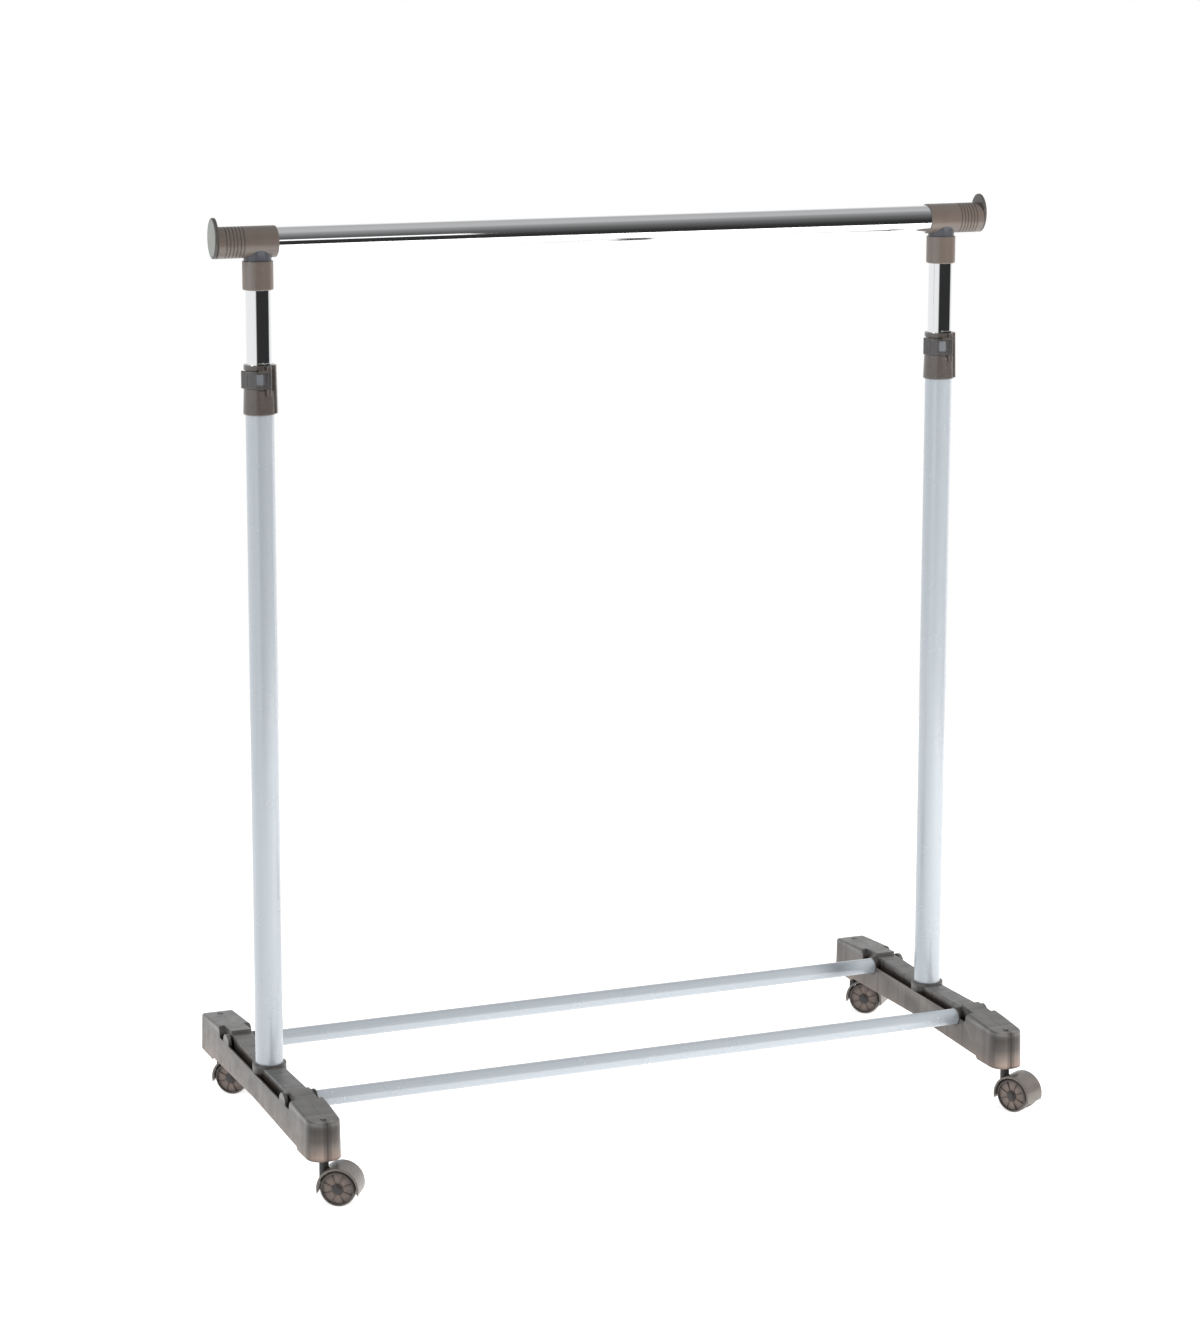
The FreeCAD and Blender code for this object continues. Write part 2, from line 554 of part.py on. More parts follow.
def caster_hood():
    """Hood band over both wheels, a web between them and the neck around the stem."""
    band = Part.makeCylinder(HOOD_OUT_R, 2 * HOOD_HALF, Vector(TRAIL, -HOOD_HALF, WHEEL_R), AXIS_Y)
    inside = Part.makeCylinder(HOOD_IN_R, 2 * HOOD_HALF + 2,
                               Vector(TRAIL, -HOOD_HALF - 1, WHEEL_R), AXIS_Y)
    band = round_edges(band, 0.8, lambda e: e.BoundBox.YLength < 0.1)
    web = Part.makeCylinder(HOOD_OUT_R - 1, 4.0, Vector(TRAIL, -2.0, WHEEL_R), AXIS_Y)
    web = web.cut(box(-60, 60, -5, 5, -10, WHEEL_R + 3))
    hub = Part.makeCylinder(7.0, 4.0, Vector(TRAIL, -2.0, WHEEL_R), AXIS_Y)
    arm = box(TRAIL - 7, TRAIL + 7, -2.0, 2.0, WHEEL_R, WHEEL_R + 6)
    hood = band.cut(inside).cut(hood_cut(1)).cut(hood_cut(-1))
    hood = hood.fuse(web).fuse(hub).fuse(arm)
    neck = post(NECK_OUT_R, WHEEL_R + 8, BLOCK_BOTTOM_Z - 1.4).cut(
        Part.makeCylinder(HOOD_IN_R, 60, Vector(TRAIL, -30, WHEEL_R), AXIS_Y))
    hood = hood.fuse(neck)
    hood = hood.cut(post(STEM_R, 36, 100))
    axle = Part.makeCylinder(AXLE_R, 10, Vector(TRAIL, -5, WHEEL_R), AXIS_Y)
    return hood.cut(axle).removeSplitter()


def hood_cut(side):
    """Wedge below the hood's slanted lower edge, on the front (1) or back (-1) of the axle."""
    inner = math.radians(4)
    outer = math.radians(19)
    first = (TRAIL + side * 20 * math.cos(inner), WHEEL_R - 20 * math.sin(inner))
    last = (TRAIL + side * 25 * math.cos(outer), WHEEL_R - 25 * math.sin(outer))
    corners = [first, last, (TRAIL + side * 30, -20), (TRAIL, -20), (TRAIL, first[1])]
    wire = Part.makePolygon([Vector(x, -30, z) for x, z in corners + corners[:1]])
    return Part.Face(wire).extrude(Vector(0, 60, 0))


def caster_axle():
    """Axle pressed into the hood's web, with a head that keeps each wheel on."""
    axle = Part.makeCylinder(AXLE_R, 2 * WHEEL_OUT, Vector(TRAIL, -WHEEL_OUT, WHEEL_R), AXIS_Y)
    for side in (1, -1):
        axle = axle.fuse(lathe([(0, 0), (4.2, 0), (4.2, 0.5), (3.0, 1.1), (0, 1.3)],
                               Vector(TRAIL, side * (WHEEL_OUT - 0.6), WHEEL_R),
                               Vector(0, side, 0)))
    return axle.removeSplitter()


def caster_wheel(side):
    """One wheel on the +Y or -Y side of the web, with a ribbed outer face."""
    width = WHEEL_OUT - WHEEL_IN
    body = lathe([(0, 0), (18.6, 0), (WHEEL_R, 1.4), (WHEEL_R, width - 3.2),
                  (18.4, width - 1.2), (17.4, width - 1.2), (17.4, width - 3.4),
                  (6.0, width - 2.4), (5.4, width - 0.9), (0, width - 0.9)])
    for index in range(8):
        rib = box(4.8, 17.8, -0.5, 0.5, width - 4.0, width - 1.8)
        rib.rotate(ORIGIN, AXIS_Z, 22.5 + 45 * index)
        body = body.fuse(rib)
    body = body.cut(post(AXLE_R + RUN_GAP, -1, width + 1)).removeSplitter()
    body.Placement = FreeCAD.Placement(Vector(TRAIL, side * WHEEL_IN, WHEEL_R),
                                       FreeCAD.Rotation(AXIS_Z, Vector(0, side, 0)))
    return body


def turned(shape, turn):
    """Turn a caster piece about its stem so that the axle points turn degrees from +Y to +X."""
    copy = shape.copy()
    copy.rotate(ORIGIN, AXIS_Z, -turn)
    return copy


# ---------------------------------------------------------------- the rack
def write_uprights():
    for name, side in (("left", -1), ("right", 1)):
        x = side * UPRIGHT_X
        write("base_beam_" + name, base_beam(-side), x)
        write("upright_tube_" + name, upright_tube(), x)
        write("foot_plug_" + name, foot_plug(), x)
        write("foot_bolt_" + name, foot_bolt(), x)
        write("clamp_collar_" + name, clamp_collar(), x)
        write("clamp_shim_" + name, clamp_shim(), x)
        write("clamp_pin_" + name, clamp_pin(), x)
        write("clamp_lever_" + name, clamp_lever(), x)
        write("inner_tube_" + name, inner_tube(), x)
        write("guide_bush_" + name, guide_bush(), x)


def write_upper_frame():
    fitting = t_fitting()
    cap = end_cap()
    screws = []
    for side in (-1, 1):
        for screw in fitting_screws():
            if side < 0:
                screw = mirror_x(screw)
            screw.translate(Vector(side * UPRIGHT_X, 0, 0))
            screws.append(screw)
    write("t_fitting_right", fitting, UPRIGHT_X)
    write("t_fitting_left", mirror_x(fitting), -UPRIGHT_X)
    write("end_cap_right", cap, UPRIGHT_X)
    write("end_cap_left", mirror_x(cap), -UPRIGHT_X)
    write("fitting_screws", Part.makeCompound(screws))
    write("hanging_rail", hanging_rail())


def write_lower_rails():
    write("lower_rail_front", lower_rail(), 0, -RAIL_OFFSET)
    write("lower_rail_rear", lower_rail(), 0, RAIL_OFFSET)


def write_casters():
    pieces = {"stem": caster_stem(), "hood": caster_hood(), "axle": caster_axle(),
              "wheel_near": caster_wheel(-1), "wheel_far": caster_wheel(1)}
    for corner, turn in CASTER_TURN.items():
        x = UPRIGHT_X if corner.endswith("right") else -UPRIGHT_X
        y = -STEM_OFFSET if corner.startswith("front") else STEM_OFFSET
        write("caster_sleeve_" + corner, caster_sleeve(), x, y)
        for piece, shape in pieces.items():
            write("caster_" + piece + "_" + corner, turned(shape, turn), x, y)


os.makedirs("parts", exist_ok=True)
write_uprights()
write_lower_rails()
write_upper_frame()
write_casters()
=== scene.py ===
"""Looks of the rolling clothes rack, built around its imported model.

Each piece is made in millimetres in a local frame of its own, then scaled to metres and put
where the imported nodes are. Uprights, collars, levers and beams use the upright's axis on the
floor as their local origin, with Z up. The base beam is made for the left upright, and the T
fitting and its cap for the right one; the other side's are mirrored copies.
"""

import math

import bmesh
import bpy
from mathutils import Matrix, Vector


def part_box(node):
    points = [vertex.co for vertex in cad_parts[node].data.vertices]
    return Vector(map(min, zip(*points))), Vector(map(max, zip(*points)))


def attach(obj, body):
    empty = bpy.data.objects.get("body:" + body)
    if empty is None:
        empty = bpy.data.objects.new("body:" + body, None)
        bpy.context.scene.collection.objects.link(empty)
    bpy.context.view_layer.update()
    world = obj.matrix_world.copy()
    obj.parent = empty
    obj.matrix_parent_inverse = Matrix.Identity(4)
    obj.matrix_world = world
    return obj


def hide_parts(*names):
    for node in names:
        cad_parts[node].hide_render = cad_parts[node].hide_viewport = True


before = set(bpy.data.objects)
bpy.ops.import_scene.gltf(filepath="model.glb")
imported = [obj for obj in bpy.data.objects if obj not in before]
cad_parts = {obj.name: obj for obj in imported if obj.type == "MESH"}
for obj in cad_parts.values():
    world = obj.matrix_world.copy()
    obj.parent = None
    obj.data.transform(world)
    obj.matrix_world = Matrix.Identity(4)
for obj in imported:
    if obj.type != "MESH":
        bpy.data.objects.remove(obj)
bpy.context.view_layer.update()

MM = 0.001                                 # a millimetre, in metres
CORNERS = ("front_left", "front_right", "rear_left", "rear_right")
SIDES = {"left": -1, "right": 1}

# ---------------------------------------------------------------- sizes, in millimetres
OUTER_R, OUTER_BORE_R = 16.0, 15.0
INNER_R, INNER_BORE_R = 14.0, 13.0
RAIL_R, RAIL_BORE_R = 9.5, 8.5

BEAM_HALF, BEAM_WALL, BEAM_END = 20.5, 2.6, 217.4
NOSE_HALF, NOSE_CORNER_Y, TAPER_Y, REAR_CORNER_R = 19.8, 197.0, 168.0, 4.8
DRAFT, DRAFT_HEIGHT = 1.1, 50.0            # narrowing over this height above the foot
RIM_ROUND, FOOT_ROUND = 2.8, 1.0           # eased edges of the end blocks
BLOCK_BOTTOM, BLOCK_INNER_Y, BLOCK_OUTER_Y, BLOCK_FOOT_Y = 50.0, 113.0, 144.0, 171.0
BLOCK_TOP_IN, BLOCK_TOP_OUT = 101.2, 93.5
MIDDLE_BOTTOM, MIDDLE_ARCH = 54.0, 57.5
SPINE_HALF, SPINE_LOW, SPINE_HIGH = 12.3, 94.8, 97.7
WALL_TOP, GROOVE_FLOOR = 86.5, 78.0
SOCKET_R, SOCKET_TOP, SOCKET_FLOOR = 19.5, 97.6, 67.0
RAIL_OFFSET, RAIL_Z = 112.0, 86.3
EAR_R, EAR_IN, EAR_OUT = 11.6, 15.2, 19.6
RAIL_END = 6.5
STEM_OFFSET, STEM_TUBE_R, SLEEVE_R, SLEEVE_TOP = 202.5, 7.6, 6.0, 90.0
STEM_WEB, STEM_WEB_REACH = 0.9, 24.0       # half thickness and reach of the ribs at the stem
MARK_R, MARK_RISE = 3.6, 0.7               # moulding mark on the block's top
BOLT_R, BOLT_HEAD_R = 3.2, 6.4             # holes for the foot bolt
RIB_PLACES, RIB_HALF = (38.0, 66.0, 94.0, 132.0), 0.8

UPRIGHT_TOP, COLLAR_BOTTOM, COLLAR_TOP = 873.0, 848.3, 904.0
COLLAR_R, COLLAR_FLARE_R, RECESS_R = 17.5, 18.5, 15.9
LEVER_LOW, LEVER_HIGH = 877.6, 898.4
LEVER_IN_R, LEVER_OUT_R, LEVER_GAP = 16.25, 18.9, 0.4
PIN_ANGLE, PIN_DISTANCE, PIN_R, KNUCKLE_R = 17.5, 19.4, 1.4, 2.9
FLANGE_ANGLE, SLIT_ANGLE, SLIT_HALF = 66.0, 42.0, 0.9
SHIM_POCKET = (13.0, 15.3, -20.0, 28.0)    # inner and outer radius, first and last angle

BARREL_R, BARREL_IN, BARREL_OUT = 17.6, -20.4, 48.4
LEG_R, LEG_BOTTOM, LEG_TOP, NECK_R = 17.2, -53.0, -21.0, 15.4
RING_COUNT, RING_START, RING_PITCH, RING_WIDTH, RING_DEPTH = 6, 18.4, 4.05, 1.8, 0.45
SCREW_R, SCREW_DROP, SCREW_ALONG = 1.6, 38.0, 10.0     # holes for the fitting screws
CAP_HALF_Y, CAP_HALF_Z, CAP_RISE, CAP_THICK = 17.0, 22.7, 5.1, 4.1
SPIGOT_R, SPIGOT_START = 13.5, 37.0        # bore and inner end of the cap's spigot

WHEEL_R, WHEEL_IN, WHEEL_OUT = 20.0, 2.6, 16.4
WHEEL_BORE_R, AXLE_HOLE_R = 3.05, 3.0      # the wheels turn on the axle, the hood holds it
WHEEL_RIBS, WHEEL_TICKS = 8, 32
HOOD_IN_R, HOOD_OUT_R, HOOD_HALF = 21.4, 23.9, 16.0
HUB_R, WEB_HALF = 7.0, 2.0
TRAIL, STEM_R, NECK_OUT_R = 18.5, 4.0, 5.3
STEM_NECK_BOTTOM, STEM_NECK_TOP = 26.0, 48.5


SHARP_ANGLE = 35.0                         # edges bent by more than these degrees stay sharp
Z_TO_X = Matrix.Rotation(math.radians(90), 4, "Y")
Z_TO_Y = Matrix.Rotation(math.radians(-90), 4, "X")


# ---------------------------------------------------------------- outlines
def rounded(corners, steps=5):
    """Closed outline from (x, y, radius) corners, each corner eased over its radius."""
    outline = []
    for index, (x, y, radius) in enumerate(corners):
        corner = Vector((x, y))
        back = Vector(corners[index - 1][:2]) - corner
        on = Vector(corners[(index + 1) % len(corners)][:2]) - corner
        if radius <= 0:
            outline.append(corner)
            continue
        reach = radius / max(math.tan(back.angle(on) / 2), 0.2)
        start = corner + back.normalized() * min(reach, 0.49 * back.length)
        end = corner + on.normalized() * min(reach, 0.49 * on.length)
        for step in range(steps + 1):
            share = step / steps
            keep = 1 - share
            outline.append(start * keep ** 2 + corner * 2 * share * keep + end * share ** 2)
    return [tuple(point) for point in outline]


def around(angle, distance):
    """Point at an angle from the front (-Y) towards +X, at a distance from the tube axis."""
    turn = math.radians(angle)
    return distance * math.sin(turn), -distance * math.cos(turn)


def sector(r_in, r_out, first, last, steps=24):
    """Closed plan outline of a ring's part between two angles from the front towards +X."""
    angles = [first + (last - first) * step / steps for step in range(steps + 1)]
    outside = [around(angle, r_out) for angle in angles]
    return outside + [around(angle, r_in) for angle in reversed(angles)]


def nose_outline(inset, steps=20):
    """Plan of the beam: straight sides, a rounded nose at the front and a squared rear end."""
    squareness = 2.5                           # 2 would be an ellipse
    half = BEAM_HALF - inset
    nose = NOSE_HALF - inset
    end = BEAM_END - inset
    outline = [(-half, -TAPER_Y)]
    for step in range(steps + 1):
        turn = math.pi * step / steps
        across, along = math.cos(turn), math.sin(turn)
        reach = (abs(across) ** squareness + along ** squareness) ** (-1 / squareness)
        outline.append((-nose * reach * across,
                        -NOSE_CORNER_Y - (end - NOSE_CORNER_Y) * reach * along))
    outline.append((half, -TAPER_Y))
    corner = max(REAR_CORNER_R - inset, 0.8)
    for sign, first in ((1, 0), (-1, 90)):
        for step in range(7):
            turn = math.radians(first + 15 * step)
            outline.append((sign * (half - corner) + corner * math.cos(turn),
                            end - corner + corner * math.sin(turn)))
    return outline


# ---------------------------------------------------------------- solids
def loft(rings, closed=False):
    """Solid through rings of as many points each; closed joins the last ring to the first."""
    bm = bmesh.new()
    loops = [[bm.verts.new(point) for point in ring] for ring in rings]
    pairs = list(zip(loops, loops[1:] + loops[:1])) if closed else list(zip(loops, loops[1:]))
    for low, high in pairs:
        for index in range(len(low)):
            after = (index + 1) % len(low)
            bm.faces.new((low[index], low[after], high[after], high[index]))
    if not closed:
        bm.faces.new(list(reversed(loops[0])))
        bm.faces.new(loops[-1])
    bmesh.ops.remove_doubles(bm, verts=bm.verts, dist=1e-4)
    bmesh.ops.recalc_face_normals(bm, faces=bm.faces)
    return bm


def lathe(outline, segments=96):
    """Solid of revolution about Z from a closed (radius, height) outline."""
    rings = []
    for step in range(segments):
        turn = 2 * math.pi * step / segments
        rings.append([(r * math.cos(turn), r * math.sin(turn), h) for r, h in outline])
    return loft(rings, closed=True)


def prism(outline, z0, z1):
    """Upright solid over a plan outline."""
    return loft([[(x, y, z0) for x, y in outline], [(x, y, z1) for x, y in outline]])


def plate(outline, x0, x1):
    """Solid between two X planes, from a (y, z) outline."""
    return loft([[(x0, y, z) for y, z in outline], [(x1, y, z) for y, z in outline]])


def block(x0, x1, y0, y1, z0, z1, soft=0.0):
    """Box with its upright edges eased."""
    corners = [(x0, y0, soft), (x1, y0, soft), (x1, y1, soft), (x0, y1, soft)]
    return prism(rounded(corners, 3), z0, z1)


def post(radius, z0, z1, x=0.0, y=0.0, soft=0.0, segments=64):
    """Upright cylinder, with its rims eased."""
    bm = lathe(rounded([(0, z0, 0), (radius, z0, soft), (radius, z1, soft), (0, z1, 0)], 4),
               segments)
    bm.transform(Matrix.Translation((x, y, 0)))
    return bm


def bar(radius, x0, x1, y=0.0, z=0.0, soft=0.0, segments=64):
    """Cylinder along X, with its rims eased."""
    bm = post(radius, x0, x1, soft=soft, segments=segments)
    bm.transform(Matrix.Translation((0, y, z)) @ Z_TO_X)
    return bm


def turned(bm, angle):
    """The same bmesh turned about Z, so that the front (-Y) goes towards +X."""
    bm.transform(Matrix.Rotation(math.radians(angle), 4, "Z"))
    return bm


def mirrored(bm):
    """A copy of the bmesh mirrored across X = 0."""
    copy = bm.copy()
    copy.transform(Matrix.Scale(-1, 4, (1, 0, 0)))
    bmesh.ops.reverse_faces(copy, faces=copy.faces)
    return copy


def tint(bm, index):
    """Give every face the material of that index."""
    for face in bm.faces:
        face.material_index = index
    return bm


def ease(bm, width, chosen, segments=3):
    """Round the edges for which chosen(edge) is true."""
    edges = [edge for edge in bm.edges if chosen(edge)]
    bmesh.ops.bevel(bm, geom=edges, offset=width, segments=segments, profile=0.5,
                    affect="EDGES", clamp_overlap=True)
    bmesh.ops.recalc_face_normals(bm, faces=bm.faces)
    return bm


def temporary(bm):
    """Scene object of the bmesh, which is used up."""
    mesh = bpy.data.meshes.new("temporary")
    bm.to_mesh(mesh)
    bm.free()
    obj = bpy.data.objects.new("temporary", mesh)
    bpy.context.scene.collection.objects.link(obj)
    return obj


def combined(base, steps):
    """The base bmesh after a list of ("UNION" or "DIFFERENCE" or "INTERSECT", bmesh) steps."""
    target = temporary(base)
    tools = []
    for operation, bm in steps:
        tool = temporary(bm)
        modifier = target.modifiers.new(operation, "BOOLEAN")
        modifier.operation = operation
        modifier.solver = "EXACT"
        modifier.object = tool
        tools.append(tool)
    depsgraph = bpy.context.evaluated_depsgraph_get()
    result = bmesh.new()
    result.from_mesh(target.evaluated_get(depsgraph).to_mesh())
    for obj in [target] + tools:
        mesh = obj.data
        bpy.data.objects.remove(obj)
        bpy.data.meshes.remove(mesh)
    bmesh.ops.remove_doubles(result, verts=result.verts, dist=1e-3)
    bmesh.ops.dissolve_degenerate(result, dist=1e-3, edges=result.edges)
    return result


def piece(name, bm, place, body, materials, nodes):
    """Finished object: scaled to metres, put in place, painted and riding on its body."""
    mesh = bpy.data.meshes.new(name)
    bm.transform(Matrix.Scale(MM, 4))
    bm.to_mesh(mesh)
    for polygon in mesh.polygons:
        polygon.use_smooth = True
    mesh.set_sharp_from_angle(angle=math.radians(SHARP_ANGLE))
    for material in materials:
        mesh.materials.append(material)
    obj = bpy.data.objects.new(name, mesh)
    bpy.context.scene.collection.objects.link(obj)
    obj.matrix_world = place
    normals = obj.modifiers.new("flat faces stay flat", "WEIGHTED_NORMAL")
    normals.keep_sharp = True
    normals.weight = 80
    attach(obj, body)
    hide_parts(*nodes)


# ---------------------------------------------------------------- material nodes
def feed(tree, socket, value):
    """Link another node's socket to this one, or set its number, vector or colour."""
    if isinstance(value, bpy.types.NodeSocket):
        tree.links.new(value, socket)
    else:
        socket.default_value = (*value, 1) if socket.type == "RGBA" else value


def node(tree, kind, **values):
    """New node with values for its input sockets."""
    made = tree.nodes.new(kind)
    for key, value in values.items():
        feed(tree, made.inputs[key.replace("_", " ")], value)
    return made


def maths(tree, operation, *values):
    """Result of a sum on sockets or numbers."""
    made = tree.nodes.new("ShaderNodeMath")
    made.operation = operation
    for socket, value in zip(made.inputs, values):
        feed(tree, socket, value)
    return made.outputs[0]


def ramp(tree, factor, stops, smooth=True):
    """Colour ramp from (place, grey or colour) stops."""
    made = tree.nodes.new("ShaderNodeValToRGB")
    made.color_ramp.interpolation = "EASE" if smooth else "LINEAR"
    elements = made.color_ramp.elements
    while len(elements) < len(stops):
        elements.new(0.5)
    for element, (place, value) in zip(elements, stops):
        element.position = place
        colour = value if isinstance(value, tuple) else (value, value, value)
        element.color = (*colour, 1)
    tree.links.new(factor, made.inputs[0])
    return made.outputs[0]


def blend(tree, how, factor, first, second):
    """Colour mix of two sockets or colours."""
    made = tree.nodes.new("ShaderNodeMix")
    made.data_type = "RGBA"
    made.blend_type = how
    for index, value in ((0, factor), (6, first), (7, second)):
        feed(tree, made.inputs[index], value)
    return made.outputs[2]


def srgb(*levels):
    """Linear colour of 8-bit screen levels."""
    def linear(level):
        share = level / 255
        return share / 12.92 if share <= 0.04045 else ((share + 0.055) / 1.055) ** 2.4
    return tuple(linear(level) for level in levels)


class Paint:
    """One material under construction: its tree, its shader and its object coordinates."""

    def __init__(self, name, **shader):
        self.material = bpy.data.materials.new(name)
        self.material.use_nodes = True
        self.tree = self.material.node_tree
        self.shader = self.tree.nodes["Principled BSDF"]
        for key, value in shader.items():
            self.shader.inputs[key.replace("_", " ")].default_value = value
        self.place = node(self.tree, "ShaderNodeTexCoord").outputs["Object"]
        split = node(self.tree, "ShaderNodeSeparateXYZ", Vector=self.place)
        self.x, self.y, self.z = split.outputs

    def noise(self, scale, detail, stretch=(1, 1, 1)):
        """Noise with features of about 1 / scale metres, stretched along the axes."""
        mapping = node(self.tree, "ShaderNodeMapping", Vector=self.place, Scale=stretch)
        made = node(self.tree, "ShaderNodeTexNoise", Vector=mapping.outputs[0], Scale=scale,
                    Detail=detail)
        return made.outputs["Fac"]

    def distance(self, first, second):
        """Length of the vector with these two components."""
        squares = [maths(self.tree, "MULTIPLY", part, part) for part in (first, second)]
        return maths(self.tree, "SQRT", maths(self.tree, "ADD", *squares))

    def where(self, *tests):
        """1 where all ("LESS_THAN" or "GREATER_THAN", socket, limit) tests hold, or else 0."""
        mask, *others = [maths(self.tree, *test) for test in tests]
        for other in others:
            mask = maths(self.tree, "MULTIPLY", mask, other)
        return mask

    def colour(self, socket):
        self.tree.links.new(socket, self.shader.inputs["Base Color"])

    def varied(self, colour, scale, amount, stretch=(1, 1, 1)):
        """The colour, made darker and lighter by the amount with noise."""
        grey = ramp(self.tree, self.noise(scale, 4.0, stretch),
                    [(0.3, 1 - amount), (0.7, 1 + amount)])
        return blend(self.tree, "MULTIPLY", 1.0, colour, grey)

    def roughness(self, low, high, scale, stretch=(1, 1, 1)):
        made = node(self.tree, "ShaderNodeMapRange", Value=self.noise(scale, 5.0, stretch),
                    From_Min=0.3, From_Max=0.7, To_Min=low, To_Max=high)
        self.tree.links.new(made.outputs[0], self.shader.inputs["Roughness"])

    def bump(self, height, distance, strength):
        made = node(self.tree, "ShaderNodeBump", Height=height, Distance=distance,
                    Strength=strength)
        self.tree.links.new(made.outputs[0], self.shader.inputs["Normal"])

    def lighter_edges(self, colour, lighter, amount=0.25):
        """The colour, made lighter along raised edges."""
        point = node(self.tree, "ShaderNodeNewGeometry").outputs["Pointiness"]
        mask = ramp(self.tree, point, [(0.53, 0.0), (0.60, amount)])
        return blend(self.tree, "MIX", mask, colour, lighter)


def smoke_plastic(name, inward):
    """Smoky translucent plastic of a beam; inward is the sign of X towards the other beam.

    Light and shade of what is behind the skin are painted into the colour: painted shade at the
    ribs, in the grooves and round the rail sockets, and a painted dark line over the caster's
    stem in the nose with painted light on both sides of it.
    """
    # Where the zones begin and end, in metres.
    foot, top, reach, half = 0.05, 0.105, 0.22, 0.02
    groove_half, groove_top, groove_end = 0.0177, 0.0942, 0.138
    socket_r, socket_from = 0.0121, 0.0135
    nose_from, nose_to = -0.199, -0.209
    skin_top, top_rib_half, top_rib_from, mark_reach = 0.0915, 0.0007, 0.160, 0.01

    paint = Paint(name, IOR=1.5, Specular_IOR_Level=0.35, Coat_Weight=0.08,
                  Coat_Roughness=0.2)
    tree = paint.tree
    x = maths(tree, "ABSOLUTE", paint.x)
    y = maths(tree, "ABSOLUTE", paint.y)
    height = node(tree, "ShaderNodeMapRange", Value=paint.z, From_Min=foot,
                  From_Max=top).outputs[0]
    # Colour by height: lighter and warmer at the foot, which is painted light from the floor
    # below; darker up the sides; lighter on the top faces, which is painted light from above.
    base = ramp(tree, height, [(0.0, srgb(116, 101, 92)), (0.3, srgb(93, 86, 81)),
                               (0.70, srgb(82, 78, 75)), (0.78, srgb(108, 107, 105)),
                               (0.86, srgb(88, 87, 86))])
    # Painted shade and light of what is behind the skin, along the beam: the socket's barrel
    # darker near the middle, a dark line at each rib, and the stem's tube near the end as dark
    # bands with painted light beside them.
    light_and_shade_stops = [(0.0, 0.72), (0.085, 0.66), (0.10, 1.0)]
    for place, level in zip(RIB_PLACES, (1.0, 0.84, 1.06, 0.9)):
        middle = place * MM / reach
        light_and_shade_stops += [(middle - 0.014, level), (middle, 0.60), (middle + 0.014, level)]
    light_and_shade_stops += [(0.65, 0.86), (0.68, 1.02), (0.80, 1.08), (0.85, 0.78), (0.88, 1.02),
                (0.91, 0.72), (0.94, 0.80), (0.96, 1.2), (0.99, 0.9)]
    shade = ramp(tree, maths(tree, "MULTIPLY", y, 1 / reach), light_and_shade_stops)
    base = blend(tree, "MULTIPLY", 1.0, base, shade)
    # Painted shade in the grooves between the side walls and the spine.
    groove_shade = paint.where(("LESS_THAN", x, groove_half), ("LESS_THAN", paint.z, groove_top),
                            ("LESS_THAN", y, groove_end))
    base = blend(tree, "MULTIPLY", groove_shade, base, (0.52, 0.48, 0.46))
    # Painted shade on the ear round the rail's socket.
    from_rail = paint.distance(maths(tree, "SUBTRACT", y, RAIL_OFFSET * MM),
                               maths(tree, "SUBTRACT", paint.z, RAIL_Z * MM))
    socket_shade = paint.where(
        ("LESS_THAN", from_rail, socket_r),
        ("GREATER_THAN", maths(tree, "MULTIPLY", paint.x, inward), socket_from))
    base = blend(tree, "MULTIPLY", socket_shade, base, (0.42, 0.38, 0.36))
    # The rounded nose, at the front only: painted light low down and painted shade higher up, and
    # a painted dark line over the stem with painted light on both sides of it.
    nose = node(tree, "ShaderNodeMapRange", Value=paint.y, From_Min=nose_from,
                From_Max=nose_to).outputs[0]
    nose_light_and_shade = ramp(tree, height, [(0.0, 0.8), (0.08, 1.5), (0.24, 1.5), (0.46, 0.76),
                               (0.64, 0.52), (0.76, 0.8)])
    base = blend(tree, "MULTIPLY", nose, base, nose_light_and_shade)
    line = ramp(tree, maths(tree, "MULTIPLY", x, 1 / half),
                [(0.0, 0.36), (0.05, 0.40), (0.08, 0.68), (0.20, 0.74), (0.27, 1.18),
                 (0.5, 1.1), (0.75, 0.9), (0.95, 0.78)])
    base = blend(tree, "MULTIPLY", nose, base, line)
    # Painted highlight and shade on the moulding mark over the stem, and painted shade of the rib
    # under the block's top.
    on_top = paint.where(("GREATER_THAN", paint.z, skin_top))
    from_stem = paint.distance(x, maths(tree, "SUBTRACT", y, STEM_OFFSET * MM))
    mark = ramp(tree, maths(tree, "MULTIPLY", from_stem, 1 / mark_reach),
                [(0.0, 1.5), (0.16, 1.2), (0.24, 0.62), (0.33, 0.7), (0.40, 1.4), (0.52, 1.0)])
    base = blend(tree, "MULTIPLY", on_top, base, mark)
    rib = paint.where(("LESS_THAN", x, top_rib_half), ("GREATER_THAN", paint.z, skin_top),
                      ("GREATER_THAN", y, top_rib_from))
    base = blend(tree, "MULTIPLY", rib, base, (0.72, 0.72, 0.72))
    clouds = ramp(tree, paint.noise(38.0, 4.0, (1, 0.5, 1)), [(0.3, 0.84), (0.7, 1.12)])
    base = blend(tree, "MULTIPLY", 1.0, base, clouds)
    paint.colour(paint.lighter_edges(base, srgb(150, 144, 137), 0.35))
    paint.roughness(0.28, 0.40, 90.0)
    paint.bump(paint.noise(2600.0, 2.0), 0.00003, 0.5)
    return paint.material


def plain_plastic(name, colour, lighter, low, high, **shader):
    """Moulded plastic: clouded colour, fine grain and edges made lighter."""
    paint = Paint(name, **shader)
    paint.colour(paint.lighter_edges(paint.varied(colour, 60.0, 0.05), lighter))
    paint.roughness(low, high, 120.0)
    paint.bump(paint.noise(3000.0, 2.0), 0.00001, 0.25)
    return paint.material


